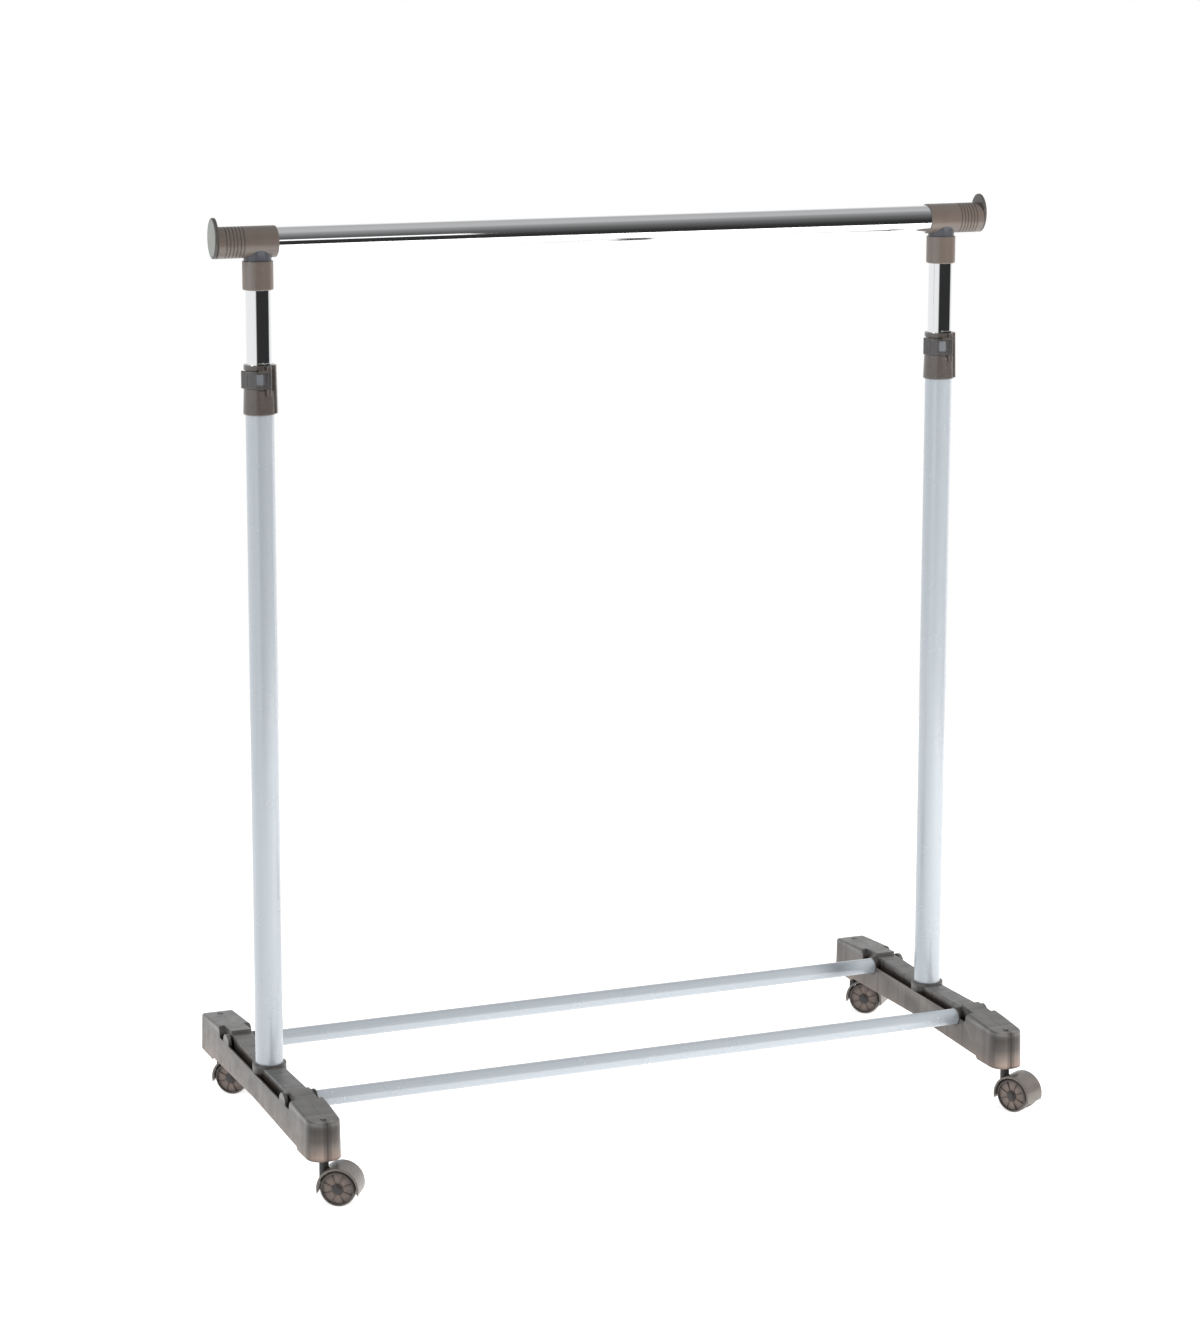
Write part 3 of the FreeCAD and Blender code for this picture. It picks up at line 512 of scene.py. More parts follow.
def tube_paint(name, stretch):
    """Silver-blue stove enamel with fine orange peel; stretch follows the tube's length."""
    paint = Paint(name, Metallic=0.2, Coat_Weight=0.6, Coat_Roughness=0.12)
    paint.colour(paint.varied(srgb(176, 184, 191), 24.0, 0.012, stretch))
    paint.roughness(0.25, 0.28, 30.0)
    paint.bump(paint.noise(40.0, 1.0), 0.00001, 0.1)
    return paint.material


def chrome(name, stretch):
    """Chromium plate with faint polishing lines along the tube and a few dull clouds."""
    paint = Paint(name, Metallic=1.0)
    paint.colour(paint.varied(srgb(232, 233, 235), 20.0, 0.03, stretch))
    paint.roughness(0.045, 0.06, 45.0, stretch)
    paint.bump(paint.noise(900.0, 2.0, stretch), 0.0000004, 0.1)
    return paint.material


def metal(name, colour, low, high):
    """Plain steel of pins, bolts and screws, with fine grain and slight tarnish."""
    paint = Paint(name, Metallic=1.0)
    paint.colour(paint.lighter_edges(paint.varied(colour, 160.0, 0.12), srgb(225, 225, 225)))
    paint.roughness(low, high, 400.0)
    paint.bump(paint.noise(2500.0, 3.0), 0.00001, 0.5)
    return paint.material


SMOKE = {"left": smoke_plastic("smoke_plastic_left", 1),
         "right": smoke_plastic("smoke_plastic_right", -1)}
UPRIGHT_PAINT = tube_paint("tube_paint_upright", (1, 1, 0.06))
RAIL_PAINT = tube_paint("tube_paint_rail", (0.06, 1, 1))
CHROME_UPRIGHT = chrome("chrome_upright", (1, 1, 0.04))
CHROME_RAIL = chrome("chrome_rail", (0.04, 1, 1))
FITTING = plain_plastic("fitting_plastic", srgb(102, 92, 85), srgb(142, 130, 120), 0.34, 0.40,
                        IOR=1.75)
# Darker plastic for the faces in the T fitting's ring grooves: painted shade.
GROOVE_SHADE_PLASTIC = plain_plastic("fitting_groove_shade_plastic", srgb(82, 74, 69), srgb(110, 101, 94), 0.36, 0.44)
# Dark bluish plastic for the neck under the barrel: painted shadow of the barrel.
NECK_SHADOW_PLASTIC = plain_plastic("fitting_neck_shadow_plastic", srgb(76, 78, 84), srgb(120, 120, 124), 0.30, 0.40)
CAP = plain_plastic("cap_plastic", srgb(132, 136, 131), srgb(160, 162, 157), 0.36, 0.46)
CAP_RIM = plain_plastic("cap_rim_plastic", srgb(80, 77, 74), srgb(124, 120, 115), 0.30, 0.40)
COLLAR = plain_plastic("collar_plastic", srgb(82, 76, 73), srgb(132, 124, 118), 0.22, 0.32,
                       Coat_Weight=0.5, Coat_Roughness=0.15)
LEVER = plain_plastic("lever_plastic", srgb(70, 68, 68), srgb(128, 124, 120), 0.20, 0.30,
                      Coat_Weight=0.5, Coat_Roughness=0.12)
LEVER_PATCH = plain_plastic("lever_patch_plastic", srgb(112, 115, 120), srgb(160, 162, 166),
                            0.20, 0.30)
HOOD = plain_plastic("caster_plastic", srgb(96, 90, 85), srgb(150, 144, 137), 0.24, 0.36,
                     Coat_Weight=0.3, Coat_Roughness=0.2)
DARK = plain_plastic("dark_plastic", srgb(44, 42, 42), srgb(84, 80, 78), 0.40, 0.52)
STEEL = metal("zinc_steel", srgb(178, 180, 182), 0.22, 0.36)
BRIGHT_STEEL = metal("bright_steel", srgb(214, 214, 214), 0.12, 0.22)
PLUG = plain_plastic("plug_plastic", srgb(52, 52, 54), srgb(90, 90, 92), 0.4, 0.5)


def wheel_plastic():
    """Smoky wheel plastic: dark rim and hub, warmer between the spokes and lighter on the tread,
    with painted shade along the spokes and painted dark ticks near the rim.
    """
    paint = Paint("wheel_plastic", Coat_Weight=0.1, Coat_Roughness=0.3)
    tree = paint.tree
    radius = paint.distance(paint.x, paint.y)
    share = maths(tree, "MULTIPLY", radius, 1 / (WHEEL_R * MM))
    zones = ramp(tree, share, [(0.0, srgb(44, 41, 40)), (0.28, srgb(52, 47, 45)),
                               (0.40, srgb(112, 97, 89)), (0.76, srgb(106, 93, 86)),
                               (0.88, srgb(72, 66, 62)), (0.985, srgb(84, 77, 72))])
    turn = maths(tree, "ARCTAN2", paint.y, paint.x)

    def waves(count, half_height):
        """That many waves from 0 to 1 around the axle."""
        wave = maths(tree, "COSINE", maths(tree, "MULTIPLY", turn, count))
        return maths(tree, "MULTIPLY_ADD", wave, half_height, 0.5)

    # Painted shade along the ribs of the face, and painted dark ticks near the rim that stand for
    # the shade in small notches.
    spokes = ramp(tree, waves(WHEEL_RIBS, -0.5), [(0.90, 1.0), (0.97, 0.55)])
    ticks = ramp(tree, waves(WHEEL_TICKS, 0.5), [(0.6, 1.0), (0.85, 0.6)])
    on_face = ramp(tree, share, [(0.28, 0.0), (0.34, 1.0), (0.84, 1.0), (0.88, 0.0)])
    near_rim = ramp(tree, share, [(0.68, 0.0), (0.72, 1.0), (0.86, 1.0), (0.89, 0.0)])
    zones = blend(tree, "MULTIPLY", on_face, zones, spokes)
    zones = blend(tree, "MULTIPLY", near_rim, zones, ticks)
    clouds = ramp(tree, paint.noise(140.0, 4.0), [(0.3, 0.84), (0.7, 1.12)])
    paint.colour(blend(tree, "MULTIPLY", 1.0, zones, clouds))
    paint.roughness(0.34, 0.52, 180.0)
    paint.bump(paint.noise(2400.0, 3.0), 0.00003, 0.6)
    return paint.material


WHEEL = wheel_plastic()


# ---------------------------------------------------------------- base beams
def top_z(y):
    """Height of the sloping block top at a distance from the upright."""
    share = (y - BLOCK_INNER_Y) / (BEAM_END - BLOCK_INNER_Y)
    return BLOCK_TOP_IN + share * (BLOCK_TOP_OUT - BLOCK_TOP_IN)


def both_ways(half_profile):
    """Close a (y, z) half profile, given from the middle outwards and back, about y = 0."""
    return half_profile + [(-y, z) for y, z in reversed(half_profile) if y > 0]


def nose_prism(inset, z0, z1):
    """Upright solid over the beam's plan that narrows upwards."""
    rings = []
    for z in (z0, z1):
        outline = nose_outline(inset + DRAFT * (z - BLOCK_BOTTOM) / DRAFT_HEIGHT)
        rings.append([(x, y, z) for x, y in outline])
    return loft(rings)


def underside():
    """(y, z) profile of the beam's foot, from the upright outwards."""
    return [(0, MIDDLE_ARCH), (BLOCK_FOOT_Y - 4, MIDDLE_BOTTOM), (BLOCK_FOOT_Y, BLOCK_BOTTOM),
            (BEAM_END + 1, BLOCK_BOTTOM)]


def beam_body():
    """Blocks and low side walls, with the rims of the blocks rounded."""
    outline = both_ways(underside() + [
        (BEAM_END + 1, top_z(BEAM_END + 1)), (BLOCK_OUTER_Y, top_z(BLOCK_OUTER_Y)),
        (BLOCK_OUTER_Y - 5, top_z(BLOCK_OUTER_Y) - 5), (BLOCK_OUTER_Y - 7, WALL_TOP),
        (0, WALL_TOP)])
    body = combined(plate(outline, -BEAM_HALF - 2, BEAM_HALF + 2),
                    [("INTERSECT", nose_prism(0, 45, 106))])

    def is_rim(edge):
        one, two = (vert.co for vert in edge.verts)
        high = min(one.z - top_z(abs(one.y)), two.z - top_z(abs(two.y))) > -0.1
        apart = abs(one.y - two.y) > 0.01 or abs(one.y) > BLOCK_OUTER_Y + 20
        return high and apart

    def is_foot(edge):
        one, two = (vert.co for vert in edge.verts)
        low = max(one.z, two.z) < BLOCK_BOTTOM + 0.1
        return low and min(abs(one.y), abs(two.y)) > BLOCK_FOOT_Y - 0.1 and \
            not (abs(one.y) < BLOCK_FOOT_Y + 0.1 and abs(two.y) < BLOCK_FOOT_Y + 0.1)

    ease(body, RIM_ROUND, is_rim, 5)
    return ease(body, FOOT_ROUND, is_foot)


def beam_hollow():
    """Space under the skin, open at the bottom."""
    low = BLOCK_BOTTOM - 8
    floor = GROOVE_FLOOR - BEAM_WALL
    block_y = BLOCK_OUTER_Y + 1
    wide = both_ways([(0, low), (BEAM_END, low), (BEAM_END, top_z(BEAM_END) - BEAM_WALL - 1),
                      (block_y, top_z(block_y) - BEAM_WALL - 1), (block_y, floor), (0, floor)])
    narrow = both_ways([(0, low), (block_y + 1, low),
                        (block_y + 1, top_z(block_y + 1) - BEAM_WALL - 1),
                        (BLOCK_INNER_Y, SPINE_HIGH - BEAM_WALL), (0, SPINE_LOW - BEAM_WALL)])
    inner = SPINE_HALF - BEAM_WALL
    return combined(plate(wide, -BEAM_HALF, BEAM_HALF), [
        ("INTERSECT", nose_prism(BEAM_WALL, 40, 106)), ("UNION", plate(narrow, -inner, inner))])


def spine():
    """Raised middle of the beam with its long edges rounded."""
    outline = both_ways(underside()[:3] + [
        (BLOCK_FOOT_Y, top_z(BLOCK_FOOT_Y) - 4),
        (BLOCK_OUTER_Y + 4, top_z(BLOCK_OUTER_Y + 4) - 0.02),
        (BLOCK_INNER_Y, BLOCK_TOP_IN), (BLOCK_INNER_Y - 0.6, SPINE_HIGH), (0, SPINE_LOW)])

    def is_long_top(edge):
        one, two = (vert.co for vert in edge.verts)
        return min(one.z, two.z) > SPINE_LOW - 0.1 and abs(one.x - two.x) < 0.01

    return ease(plate(outline, -SPINE_HALF, SPINE_HALF), 1.0, is_long_top)


def stem_mount(sign):
    """Tube and ribs in an end block that hold the caster's sleeve."""
    y = sign * STEM_OFFSET
    top = top_z(STEM_OFFSET) - 1.5
    across = block(-BEAM_HALF, BEAM_HALF, y - STEM_WEB, y + STEM_WEB, BLOCK_BOTTOM + 3, top)
    along = block(-STEM_WEB, STEM_WEB, y - STEM_WEB_REACH, y + STEM_WEB_REACH,
                  BLOCK_BOTTOM + 3, top)
    holder = post(STEM_TUBE_R, BLOCK_BOTTOM + 0.2, top, 0, y, soft=0.4)
    return combined(holder, [("UNION", across), ("UNION", along),
                             ("INTERSECT", nose_prism(1.0, 48, 106))])


def base_beam():
    """Beam of the left upright: its rails come from +X."""
    groove_y = BLOCK_OUTER_Y - 7
    steps = [("UNION", spine())]
    for side in (-1, 1):
        x0, x1 = sorted((side * SPINE_HALF, side * (BEAM_HALF - BEAM_WALL)))
        steps.append(("DIFFERENCE", block(x0, x1, -groove_y, groove_y, GROOVE_FLOOR,
                                          WALL_TOP + 30, 1.0)))
    steps.append(("DIFFERENCE", beam_hollow()))
    steps.append(("UNION", post(SOCKET_R, MIDDLE_ARCH + 0.3, SOCKET_TOP, soft=1.0,
                                segments=96)))
    for place in RIB_PLACES:
        for sign in (1, -1):
            y = sign * place
            steps.append(("UNION", block(-BEAM_HALF + 1, BEAM_HALF - 1, y - RIB_HALF,
                                         y + RIB_HALF, MIDDLE_ARCH + 3, GROOVE_FLOOR - 1)))
    for sign in (1, -1):
        y = sign * RAIL_OFFSET
        steps.append(("UNION", bar(EAR_R, -EAR_OUT, -EAR_IN, y, RAIL_Z, 0.6)))
        steps.append(("UNION", bar(EAR_R, 2.0, EAR_OUT, y, RAIL_Z, 0.6)))
        steps.append(("UNION", stem_mount(sign)))
        steps.append(("UNION", post(MARK_R, SLEEVE_TOP, top_z(STEM_OFFSET) + MARK_RISE, 0,
                                    sign * STEM_OFFSET, 0.5)))
    steps.append(("DIFFERENCE", post(OUTER_R, SOCKET_FLOOR, SOCKET_TOP + 5, segments=96)))
    steps.append(("DIFFERENCE", post(BOLT_R, 20, SOCKET_TOP, segments=32)))
    steps.append(("DIFFERENCE", post(BOLT_HEAD_R, 20, SOCKET_FLOOR - 4, segments=32)))
    for sign in (1, -1):
        steps.append(("DIFFERENCE", bar(RAIL_R, RAIL_END, BEAM_HALF + 5, sign * RAIL_OFFSET,
                                        RAIL_Z)))
        steps.append(("DIFFERENCE", post(SLEEVE_R, 20, SLEEVE_TOP, 0, sign * STEM_OFFSET)))
    return combined(beam_body(), steps)


# ---------------------------------------------------------------- tubes
def tube(r_out, r_in, z0, z1, segments=96):
    """Tube along Z with its rims eased; extra rings keep the faces from being very long."""
    parts = 8
    span = z1 - z0
    inner = [(r_in, z1 - span * step / parts, 0) for step in range(1, parts)]
    outer = [(r_out, z0 + span * step / parts, 0) for step in range(1, parts)]
    corners = [(r_in, z0, 0.25), (r_out, z0, 0.4)] + outer + \
        [(r_out, z1, 0.4), (r_in, z1, 0.25)] + inner
    return lathe(rounded(corners, 3), segments)


def screw_hole(x, z):
    """Tool for a screw hole in the rear of a tube."""
    hole = post(SCREW_R, 5, 40, segments=24)
    hole.transform(Matrix.Translation((x, 0, z)) @ Z_TO_Y)
    return hole


# ---------------------------------------------------------------- telescopic clamp
def collar():
    """Collar on the upright's top: sleeve, recess for the lever, split ring and lugs."""
    bore = INNER_R + 0.05
    body = lathe(rounded([
        (OUTER_R, COLLAR_BOTTOM, 0.3), (COLLAR_FLARE_R - 0.7, COLLAR_BOTTOM, 0.5),
        (COLLAR_FLARE_R, COLLAR_BOTTOM + 1.2, 0.8), (COLLAR_R, LEVER_LOW, 0.35),
        (RECESS_R, LEVER_LOW, 0.2), (RECESS_R, LEVER_HIGH, 0.2), (COLLAR_R, LEVER_HIGH, 0.35),
        (COLLAR_R, COLLAR_TOP, 0.7), (bore, COLLAR_TOP, 0.3), (bore, UPRIGHT_TOP, 0),
        (OUTER_R, UPRIGHT_TOP, 0)], 4), 128)
    steps = []
    pin_x, pin_y = around(PIN_ANGLE, PIN_DISTANCE)
    for low, high in ((LEVER_LOW - 7, LEVER_LOW), (LEVER_HIGH, COLLAR_TOP - 0.8)):
        lug = block(-KNUCKLE_R, KNUCKLE_R, -PIN_DISTANCE, -RECESS_R + 0.4, low, high, 0.3)
        steps.append(("UNION", turned(lug, PIN_ANGLE)))
        steps.append(("UNION", post(KNUCKLE_R, low, high, pin_x, pin_y, 0.4, 32)))
    # Stiffening block on the right, over the whole height.
    low = COLLAR_BOTTOM + 1.5
    rings = []
    for half, front, z in ((5.2, -20.2, low), (5.0, -19.1, COLLAR_TOP - 0.3)):
        plan = rounded([(-half, -14.5, 0), (-half, front, 1.4), (half, front, 1.4),
                        (half, -14.5, 0)], 4)
        rings.append([(x, y, z) for x, y in plan])
    steps.append(("UNION", turned(loft(rings), FLANGE_ANGLE)))
    steps.append(("DIFFERENCE", post(OUTER_R, 800, UPRIGHT_TOP, segments=128)))
    steps.append(("DIFFERENCE", post(bore, 800, 1000, segments=128)))
    steps.append(("DIFFERENCE", post(PIN_R, LEVER_LOW - 5, 1000, pin_x, pin_y, segments=24)))
    steps.append(("DIFFERENCE", prism(sector(*SHIM_POCKET), LEVER_LOW + 1.5, 1000)))
    # Dark reliefs above and below the lever's root.
    above = prism(sector(14.9, 30, -18, 9), LEVER_HIGH - 1, LEVER_HIGH + 1.6)
    below = prism(sector(16.4, 30, -18, 6), LEVER_LOW - 1.8, LEVER_LOW + 1)
    steps += [("DIFFERENCE", above), ("DIFFERENCE", below)]
    slit = block(-SLIT_HALF, SLIT_HALF, -25, -10, UPRIGHT_TOP + 2, COLLAR_TOP + 1)
    steps.append(("DIFFERENCE", turned(slit, SLIT_ANGLE)))
    return combined(body, steps)


def lever():
    """Curved lever that wraps round the left of the collar and turns on the pin."""
    low = LEVER_LOW + LEVER_GAP
    high = LEVER_HIGH - LEVER_GAP
    pin_x, pin_y = around(PIN_ANGLE, PIN_DISTANCE)
    arm_angles = [-2 - 62 * step / 26 for step in range(27)]
    outside = [(pin_x + 0.4, pin_y - KNUCKLE_R + 0.25),
               around(PIN_ANGLE - 10, LEVER_OUT_R + 1.6)]
    outside += [around(angle, LEVER_OUT_R) for angle in arm_angles]
    # The free end bends away from the collar, so that a finger gets behind it.
    outside += [around(-70, 19.0), around(-76, 19.6), around(-82, 20.5), around(-86.5, 21.2)]
    tip = [around(-89, 21.15), around(-90.3, 20.6), around(-91, 19.6), around(-89, 18.9)]
    inside = [around(-84, 17.9), around(-77, 16.9), around(-71, 16.4)]
    inside += [around(angle, LEVER_IN_R) for angle in reversed(arm_angles)]
    inside += [around(6, LEVER_IN_R + 0.15), (pin_x - 0.5, pin_y + KNUCKLE_R - 0.6)]

    def is_cap(edge):
        return abs(edge.verts[0].co.z - edge.verts[1].co.z) < 0.01

    blade = ease(prism(outside + tip + inside, low, high), 0.55, is_cap, 3)
    knuckle = post(KNUCKLE_R, low, high, pin_x, pin_y, 0.35, 40)
    pocket = tint(prism(sector(LEVER_OUT_R - 0.9, 30, -28, 2), low + 4.2, high - 3.4), 1)
    thumb = prism(sector(LEVER_OUT_R - 0.25, 30, -62, -44, 10), low + 3.0, high - 3.0)
    return combined(blade, [("UNION", knuckle), ("DIFFERENCE", pocket), ("DIFFERENCE", thumb),
                            ("DIFFERENCE", post(PIN_R + 0.05, 800, 1000, pin_x, pin_y,
                                                segments=24))])


# ---------------------------------------------------------------- T fittings and caps
def t_fitting():
    """T fitting of the right upright, about the crossing of the two tube axes."""
    corners = [(OUTER_R, BARREL_IN, 0.3), (BARREL_R, BARREL_IN, 1.3)]
    for index in range(RING_COUNT):
        start = RING_START + RING_PITCH * index
        corners += [(BARREL_R, start, 0.2),
                    (BARREL_R - RING_DEPTH, start + RING_WIDTH / 2, 0.3),
                    (BARREL_R, start + RING_WIDTH, 0.2)]
    corners += [(BARREL_R, BARREL_OUT, 0.4), (OUTER_R, BARREL_OUT, 0)]
    barrel = lathe(rounded(corners, 3), 128)
    barrel.transform(Z_TO_X)
    for face in barrel.faces:
        middle = face.calc_center_median()
        depth = BARREL_R - math.hypot(middle.y, middle.z)
        if middle.x > RING_START - 0.4 and 0.05 < depth < RING_DEPTH + 0.05:
            # Faces in the ring grooves take the darker plastic: painted shade.
            face.material_index = 2
    leg = lathe(rounded([(INNER_R, LEG_BOTTOM, 0.3), (LEG_R, LEG_BOTTOM, 1.8),
                         (LEG_R, LEG_TOP, 0.7), (INNER_R, LEG_TOP, 0)], 5), 128)
    # The neck takes the dark bluish plastic: painted shadow under the barrel.
    neck = tint(lathe([(INNER_R, LEG_TOP - 1), (NECK_R, LEG_TOP - 1), (NECK_R, 0),
                       (INNER_R, 0)], 128), 1)
    return combined(barrel, [
        ("UNION", leg), ("UNION", neck), ("DIFFERENCE", bar(OUTER_R, -60, 60, segments=128)),
        ("DIFFERENCE", post(INNER_R, -80, -22, segments=128)),
        ("DIFFERENCE", screw_hole(0, -SCREW_DROP)), ("DIFFERENCE", screw_hole(SCREW_ALONG, 0))])


def end_cap():
    """Oval cap of the right T fitting: a slightly crowned plate and a spigot inside."""
    rings = []
    steps = 96
    outer = BARREL_OUT + CAP_THICK
    # Share of the half widths and X, from the middle of the inner side to that of the outer.
    profile = [(0.0, BARREL_OUT), (0.965, BARREL_OUT), (0.99, BARREL_OUT + 0.35),
               (1.0, BARREL_OUT + 0.9), (1.0, outer - 1.5), (0.988, outer - 0.8),
               (0.955, outer - 0.25), (0.91, outer - 0.02), (0.87, outer - 0.12),
               (0.84, outer - 0.30), (0.5, outer - 0.16), (0.0, outer - 0.1)]
    for step in range(steps):
        turn = 2 * math.pi * step / steps
        rings.append([(x, CAP_HALF_Y * share * math.cos(turn),
                       CAP_RISE + CAP_HALF_Z * share * math.sin(turn)) for share, x in profile])
    cap = loft(rings, closed=True)
    for face in cap.faces:
        middle = face.calc_center_median()
        share = math.hypot(middle.y / CAP_HALF_Y, (middle.z - CAP_RISE) / CAP_HALF_Z)
        on_face = middle.x > outer - 0.5 and share < 0.9
        face.material_index = 0 if on_face else 1
    spigot = tint(lathe(rounded([
        (SPIGOT_R, SPIGOT_START, 0.4), (OUTER_R, SPIGOT_START, 0.6),
        (OUTER_R, BARREL_OUT + 1, 0), (SPIGOT_R, BARREL_OUT + 1, 0)], 3), steps), 1)
    spigot.transform(Z_TO_X)
    return combined(cap, [("UNION", spigot)])


# ---------------------------------------------------------------- casters
# Local frame: stem axis at X = Y = 0, axle along Y at X = TRAIL, Z up from the floor.
def around_axle(radius, half, soft=0.0, segments=96):
    """Cylinder along the axle, about the caster's middle."""
    bm = post(radius, -half, half, soft=soft, segments=segments)
    bm.transform(Matrix.Translation((TRAIL, 0, WHEEL_R)) @ Z_TO_Y)
    return bm


def hood():
    """Hood band over both wheels, the web between them and the neck around the stem."""
    section = rounded([(HOOD_IN_R, -HOOD_HALF, 0.5), (HOOD_OUT_R, -HOOD_HALF, 0.9),
                       (HOOD_OUT_R, HOOD_HALF, 0.9), (HOOD_IN_R, HOOD_HALF, 0.5)], 4)
    rings = []
    steps = 56
    for step in range(steps + 1):
        ring = []
        for radius, y in section:
            # The two ends are cut on a slant, so that they come to a point at the outside.
            overhang = math.radians(4 + 3 * (radius - WHEEL_R))
            angle = -overhang + (math.pi + 2 * overhang) * step / steps
            ring.append((TRAIL + radius * math.cos(angle), y, WHEEL_R + radius * math.sin(angle)))
        rings.append(ring)
    band = loft(rings)
    web = combined(around_axle(HOOD_OUT_R - 1, WEB_HALF), [
        ("DIFFERENCE", block(-60, 80, -5, 5, -20, WHEEL_R + 3)),
        ("UNION", around_axle(HUB_R, WEB_HALF, 0.3, 48)),
        ("UNION", block(TRAIL - HUB_R, TRAIL + HUB_R, -WEB_HALF, WEB_HALF, WHEEL_R,
                        WHEEL_R + 6))])
    neck = tint(lathe(rounded([
        (0, STEM_NECK_BOTTOM, 0), (NECK_OUT_R, STEM_NECK_BOTTOM, 0),
        (NECK_OUT_R, STEM_NECK_TOP, 0.7), (0, STEM_NECK_TOP, 0)], 4), 64), 1)
    neck = combined(neck, [("DIFFERENCE", around_axle(HOOD_IN_R + 0.3, 30))])
    return combined(band, [("UNION", web), ("UNION", neck),
                           ("DIFFERENCE", around_axle(AXLE_HOLE_R, 6, segments=48)),
                           ("DIFFERENCE", post(STEM_R, 30, 90, segments=48))])


def wheel():
    """Wheel with its axle along Z: inner face at 0, dished and ribbed outer face above."""
    width = WHEEL_OUT - WHEEL_IN
    body = lathe(rounded([
        (WHEEL_BORE_R, 0, 0.2), (18.6, 0, 0.5), (WHEEL_R, 1.4, 0.8), (WHEEL_R, width - 3.2, 0.8),
        (18.4, width - 1.2, 0.6), (17.4, width - 1.2, 0.4), (17.1, width - 3.4, 0.5),
        (6.2, width - 2.4, 0.5), (5.4, width - 0.9, 0.5), (WHEEL_BORE_R, width - 0.9, 0.2)],
        4), 128)
    steps = []
    for index in range(WHEEL_RIBS):
        rib = block(-0.55, 0.55, -17.6, -4.8, width - 4.2, width - 1.7, 0.2)
        steps.append(("UNION", turned(rib, 360 / WHEEL_RIBS * (index + 0.5))))
    return combined(body, steps)


# ---------------------------------------------------------------- placing
def middle_of(node_name):
    """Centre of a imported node's box, in metres."""
    low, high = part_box(node_name)
    return (low + high) / 2


def upright_place(side_name):
    """Local frame of that side's upright, collar, lever and beam."""
    middle = middle_of("upright_tube_" + side_name)
    return Matrix.Translation((middle.x, middle.y, 0))


def place_base():
    beam = base_beam()
    for side_name, side in SIDES.items():
        shape = beam.copy() if side < 0 else mirrored(beam)
        piece("beam_" + side_name, shape, upright_place(side_name), "base",
              [SMOKE[side_name]], ["base_beam_" + side_name])
    beam.free()
    for row in ("front", "rear"):
        node_name = "lower_rail_" + row
        low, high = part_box(node_name)
        half = (high.x - low.x) / 2 / MM
        shape = tube(RAIL_R, RAIL_BORE_R, -half, half, 64)
        shape.transform(Z_TO_X)
        piece("bottom_rail_" + row, shape, Matrix.Translation(middle_of(node_name)), "base",
              [RAIL_PAINT], [node_name])


def place_uprights():
    ring = collar()
    arm = lever()
    for side_name in SIDES:
        place = upright_place(side_name)
        piece("upright_" + side_name, tube(OUTER_R, OUTER_BORE_R, SOCKET_FLOOR, UPRIGHT_TOP),
              place, "base", [UPRIGHT_PAINT], ["upright_tube_" + side_name])
        low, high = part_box("inner_tube_" + side_name)
        hole = screw_hole(0, middle_of("hanging_rail").z / MM - SCREW_DROP)
        inner = combined(tube(INNER_R, INNER_BORE_R, low.z / MM, high.z / MM),
                         [("DIFFERENCE", hole)])
        piece("telescopic_tube_" + side_name, inner, place, "upper_frame", [CHROME_UPRIGHT],
              ["inner_tube_" + side_name])
        piece("collar_" + side_name, ring.copy(), place, "base", [COLLAR],
              ["clamp_collar_" + side_name])
        piece("lever_" + side_name, arm.copy(), place, "lever_" + side_name,
              [LEVER, LEVER_PATCH], ["clamp_lever_" + side_name])
    ring.free()
    arm.free()


def place_upper_frame():
    fitting = t_fitting()
    cap = end_cap()
    height = middle_of("hanging_rail").z
    for side_name, side in SIDES.items():
        place = Matrix.Translation((0, 0, height)) @ upright_place(side_name)
        shape = fitting.copy() if side > 0 else mirrored(fitting)
        piece("tee_" + side_name, shape, place, "upper_frame", [FITTING, NECK_SHADOW_PLASTIC, GROOVE_SHADE_PLASTIC],
              ["t_fitting_" + side_name])
        shape = cap.copy() if side > 0 else mirrored(cap)
        piece("cap_" + side_name, shape, place, "upper_frame", [CAP, CAP_RIM],
              ["end_cap_" + side_name])
    fitting.free()
    cap.free()
    low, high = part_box("hanging_rail")
    half = (high.x - low.x) / 2 / MM
    rail = tube(OUTER_R, OUTER_BORE_R, -half, half, 128)
    rail.transform(Z_TO_X)
    piece("clothes_rail", rail, Matrix.Translation(middle_of("hanging_rail")), "upper_frame",
          [CHROME_RAIL], ["hanging_rail"])


def place_casters():
    shell = hood()
    disc = wheel()
    for corner in CORNERS:
        stem = middle_of("caster_stem_" + corner)
        trail = middle_of("caster_axle_" + corner) - stem
        place = Matrix.Translation((stem.x, stem.y, 0)) @ \
            Matrix.Rotation(math.atan2(trail.y, trail.x), 4, "Z")
        piece("hood_" + corner, shell.copy(), place, "caster_" + corner, [HOOD, DARK],
              ["caster_hood_" + corner])
        for name, side in (("near", -1), ("far", 1)):
            flip = Z_TO_Y if side > 0 else Matrix.Rotation(math.radians(90), 4, "X")
            at = Matrix.Translation(Vector((TRAIL, side * WHEEL_IN, WHEEL_R)) * MM)
            piece("wheel_" + name + "_" + corner, disc.copy(), place @ at @ flip,
                  "wheel_" + name + "_" + corner, [WHEEL],
                  ["caster_wheel_" + name + "_" + corner])
    shell.free()
    disc.free()


def paint_nodes():
    """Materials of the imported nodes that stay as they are."""
    finishes = {"foot_plug": PLUG, "foot_bolt": STEEL, "clamp_shim": BRIGHT_STEEL,
                "clamp_pin": STEEL, "guide_bush": PLUG, "fitting_screws": STEEL,
                "caster_sleeve": DARK, "caster_stem": STEEL, "caster_axle": DARK}
    for name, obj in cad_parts.items():
        for start, material in finishes.items():
            if name.startswith(start):
                obj.data.materials.clear()
                obj.data.materials.append(material)


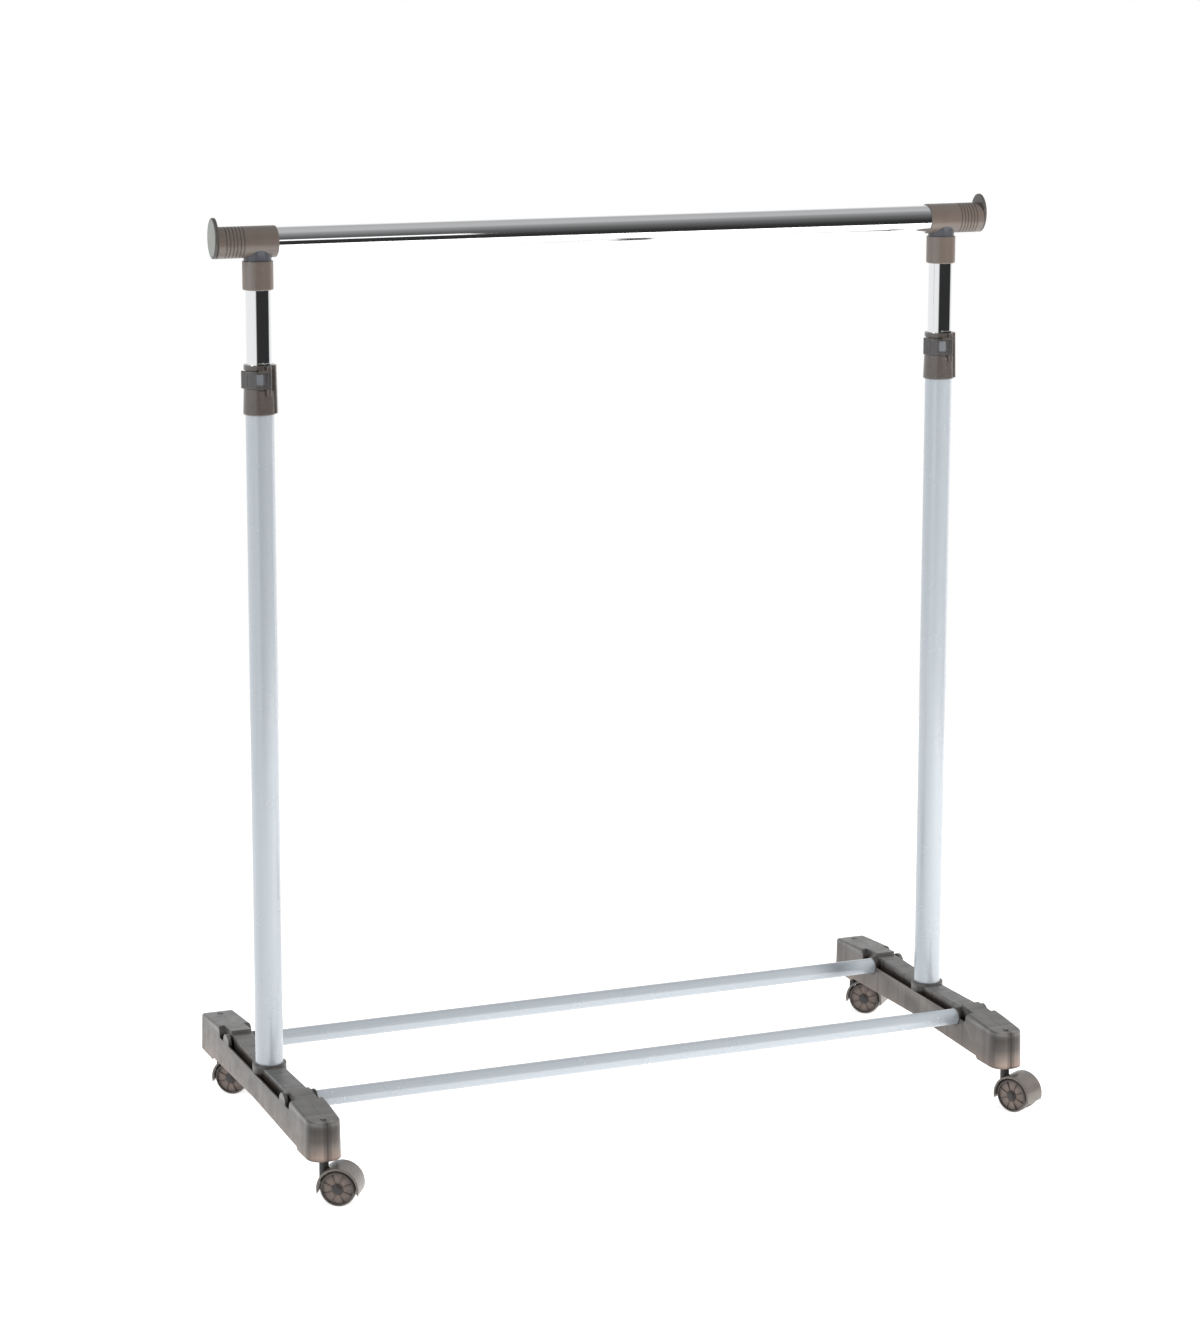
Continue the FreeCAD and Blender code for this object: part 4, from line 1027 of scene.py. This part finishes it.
# ---------------------------------------------------------------- studio
# Where the camera stands, in metres, and how it looks, in degrees.
CAMERA_PLACE = (-1.5413, -3.7285, 1.4016)
CAMERA_YAW, CAMERA_PITCH, CAMERA_ROLL = 22.187, 10.08, 0.124
CAMERA_LENS, CAMERA_SENSOR, CAMERA_SHIFT = 94.71, 36.0, -0.10
FLOOR_R, FLOOR_GREY, FLOOR_GLOW = 2.1, 0.86, 0.62
DARK_SIDE = (0.466, -0.885)                # level direction of the studio's dark side
RACK_MIDDLE, RAIL_MIDDLE = (0, 0, 0.55), (-0.35, 0, 1.04)


def add_camera():
    data = bpy.data.cameras.new("camera")
    data.lens = CAMERA_LENS
    data.sensor_width = CAMERA_SENSOR
    data.shift_y = CAMERA_SHIFT
    camera = bpy.data.objects.new("camera", data)
    bpy.context.scene.collection.objects.link(camera)
    turn = Matrix.Rotation(math.radians(-CAMERA_YAW), 4, "Z")
    tilt = Matrix.Rotation(math.radians(90 - CAMERA_PITCH), 4, "X")
    roll = Matrix.Rotation(math.radians(CAMERA_ROLL), 4, "Z")
    camera.matrix_world = Matrix.Translation(CAMERA_PLACE) @ turn @ tilt @ roll
    bpy.context.scene.camera = camera


def add_floor():
    bm = bmesh.new()
    bmesh.ops.create_circle(bm, cap_ends=True, segments=128, radius=FLOOR_R)
    mesh = bpy.data.meshes.new("floor")
    bm.to_mesh(mesh)
    bm.free()
    floor = bpy.data.objects.new("floor", mesh)
    bpy.context.scene.collection.objects.link(floor)
    paint = Paint("floor", Roughness=0.9, Specular_IOR_Level=0.1, Emission_Strength=FLOOR_GLOW)
    paint.shader.inputs["Base Color"].default_value = (FLOOR_GREY, FLOOR_GREY, FLOOR_GREY, 1)
    paint.shader.inputs["Emission Color"].default_value = (1, 1, 1, 1)
    mesh.materials.append(paint.material)


def add_world():
    """White studio with a grey ceiling and one dark side, for the dark bands in the chrome."""
    world = bpy.data.worlds.new("studio")
    bpy.context.scene.world = world
    world.use_nodes = True
    tree = world.node_tree
    direction = node(tree, "ShaderNodeTexCoord").outputs["Generated"]
    split = node(tree, "ShaderNodeSeparateXYZ", Vector=direction)
    x, y, z = split.outputs
    # How far a direction points to the dark side, front and right of the rack.
    towards = maths(tree, "ADD", maths(tree, "MULTIPLY", x, DARK_SIDE[0]),
                    maths(tree, "MULTIPLY", y, DARK_SIDE[1]))
    side = node(tree, "ShaderNodeMapRange", Value=towards, From_Min=0.33, From_Max=0.50)
    height = maths(tree, "MULTIPLY_ADD", z, 0.5, 0.5)
    dark = ramp(tree, height, [(0.0, 0.03), (0.45, 0.035), (0.58, 0.08), (0.76, 0.16),
                               (0.90, 0.32), (0.98, 0.52)], False)
    light = ramp(tree, height, [(0.0, 1.0), (0.70, 1.0), (0.86, 0.5), (1.0, 0.58)], False)
    colour = blend(tree, "MIX", side.outputs[0], light, dark)
    rays = node(tree, "ShaderNodeLightPath")
    seen = blend(tree, "MIX", rays.outputs["Is Camera Ray"], colour, (1.0, 1.0, 1.0))
    tree.links.new(seen, tree.nodes["Background"].inputs["Color"])


def add_area(name, place, target, size, power, colour=(1, 1, 1), in_gloss=True):
    """Rectangular lamp aimed at a target; in_gloss is whether reflections show it."""
    data = bpy.data.lights.new(name, "AREA")
    data.shape = "RECTANGLE"
    data.size, data.size_y = size
    data.energy = power
    data.color = colour
    lamp = bpy.data.objects.new(name, data)
    lamp.visible_glossy = in_gloss
    bpy.context.scene.collection.objects.link(lamp)
    aim = (Vector(target) - Vector(place)).to_track_quat("-Z", "Y")
    lamp.matrix_world = Matrix.Translation(place) @ aim.to_matrix().to_4x4()


def add_studio():
    add_camera()
    add_floor()
    add_world()
    add_area("key", (-3.1, -0.3, 1.7), RACK_MIDDLE, (1.2, 1.4), 24)
    add_area("fill", (2.2, -2.6, 1.1), RACK_MIDDLE, (0.7, 1.6), 120, (1.0, 0.97, 0.94), False)
    add_area("softbox", (0.50, -2.72, 1.46), RAIL_MIDDLE, (0.62, 0.45), 1.2)
    bpy.context.scene.view_settings.view_transform = "Standard"


add_studio()
place_base()
place_uprights()
place_upper_frame()
place_casters()
paint_nodes()
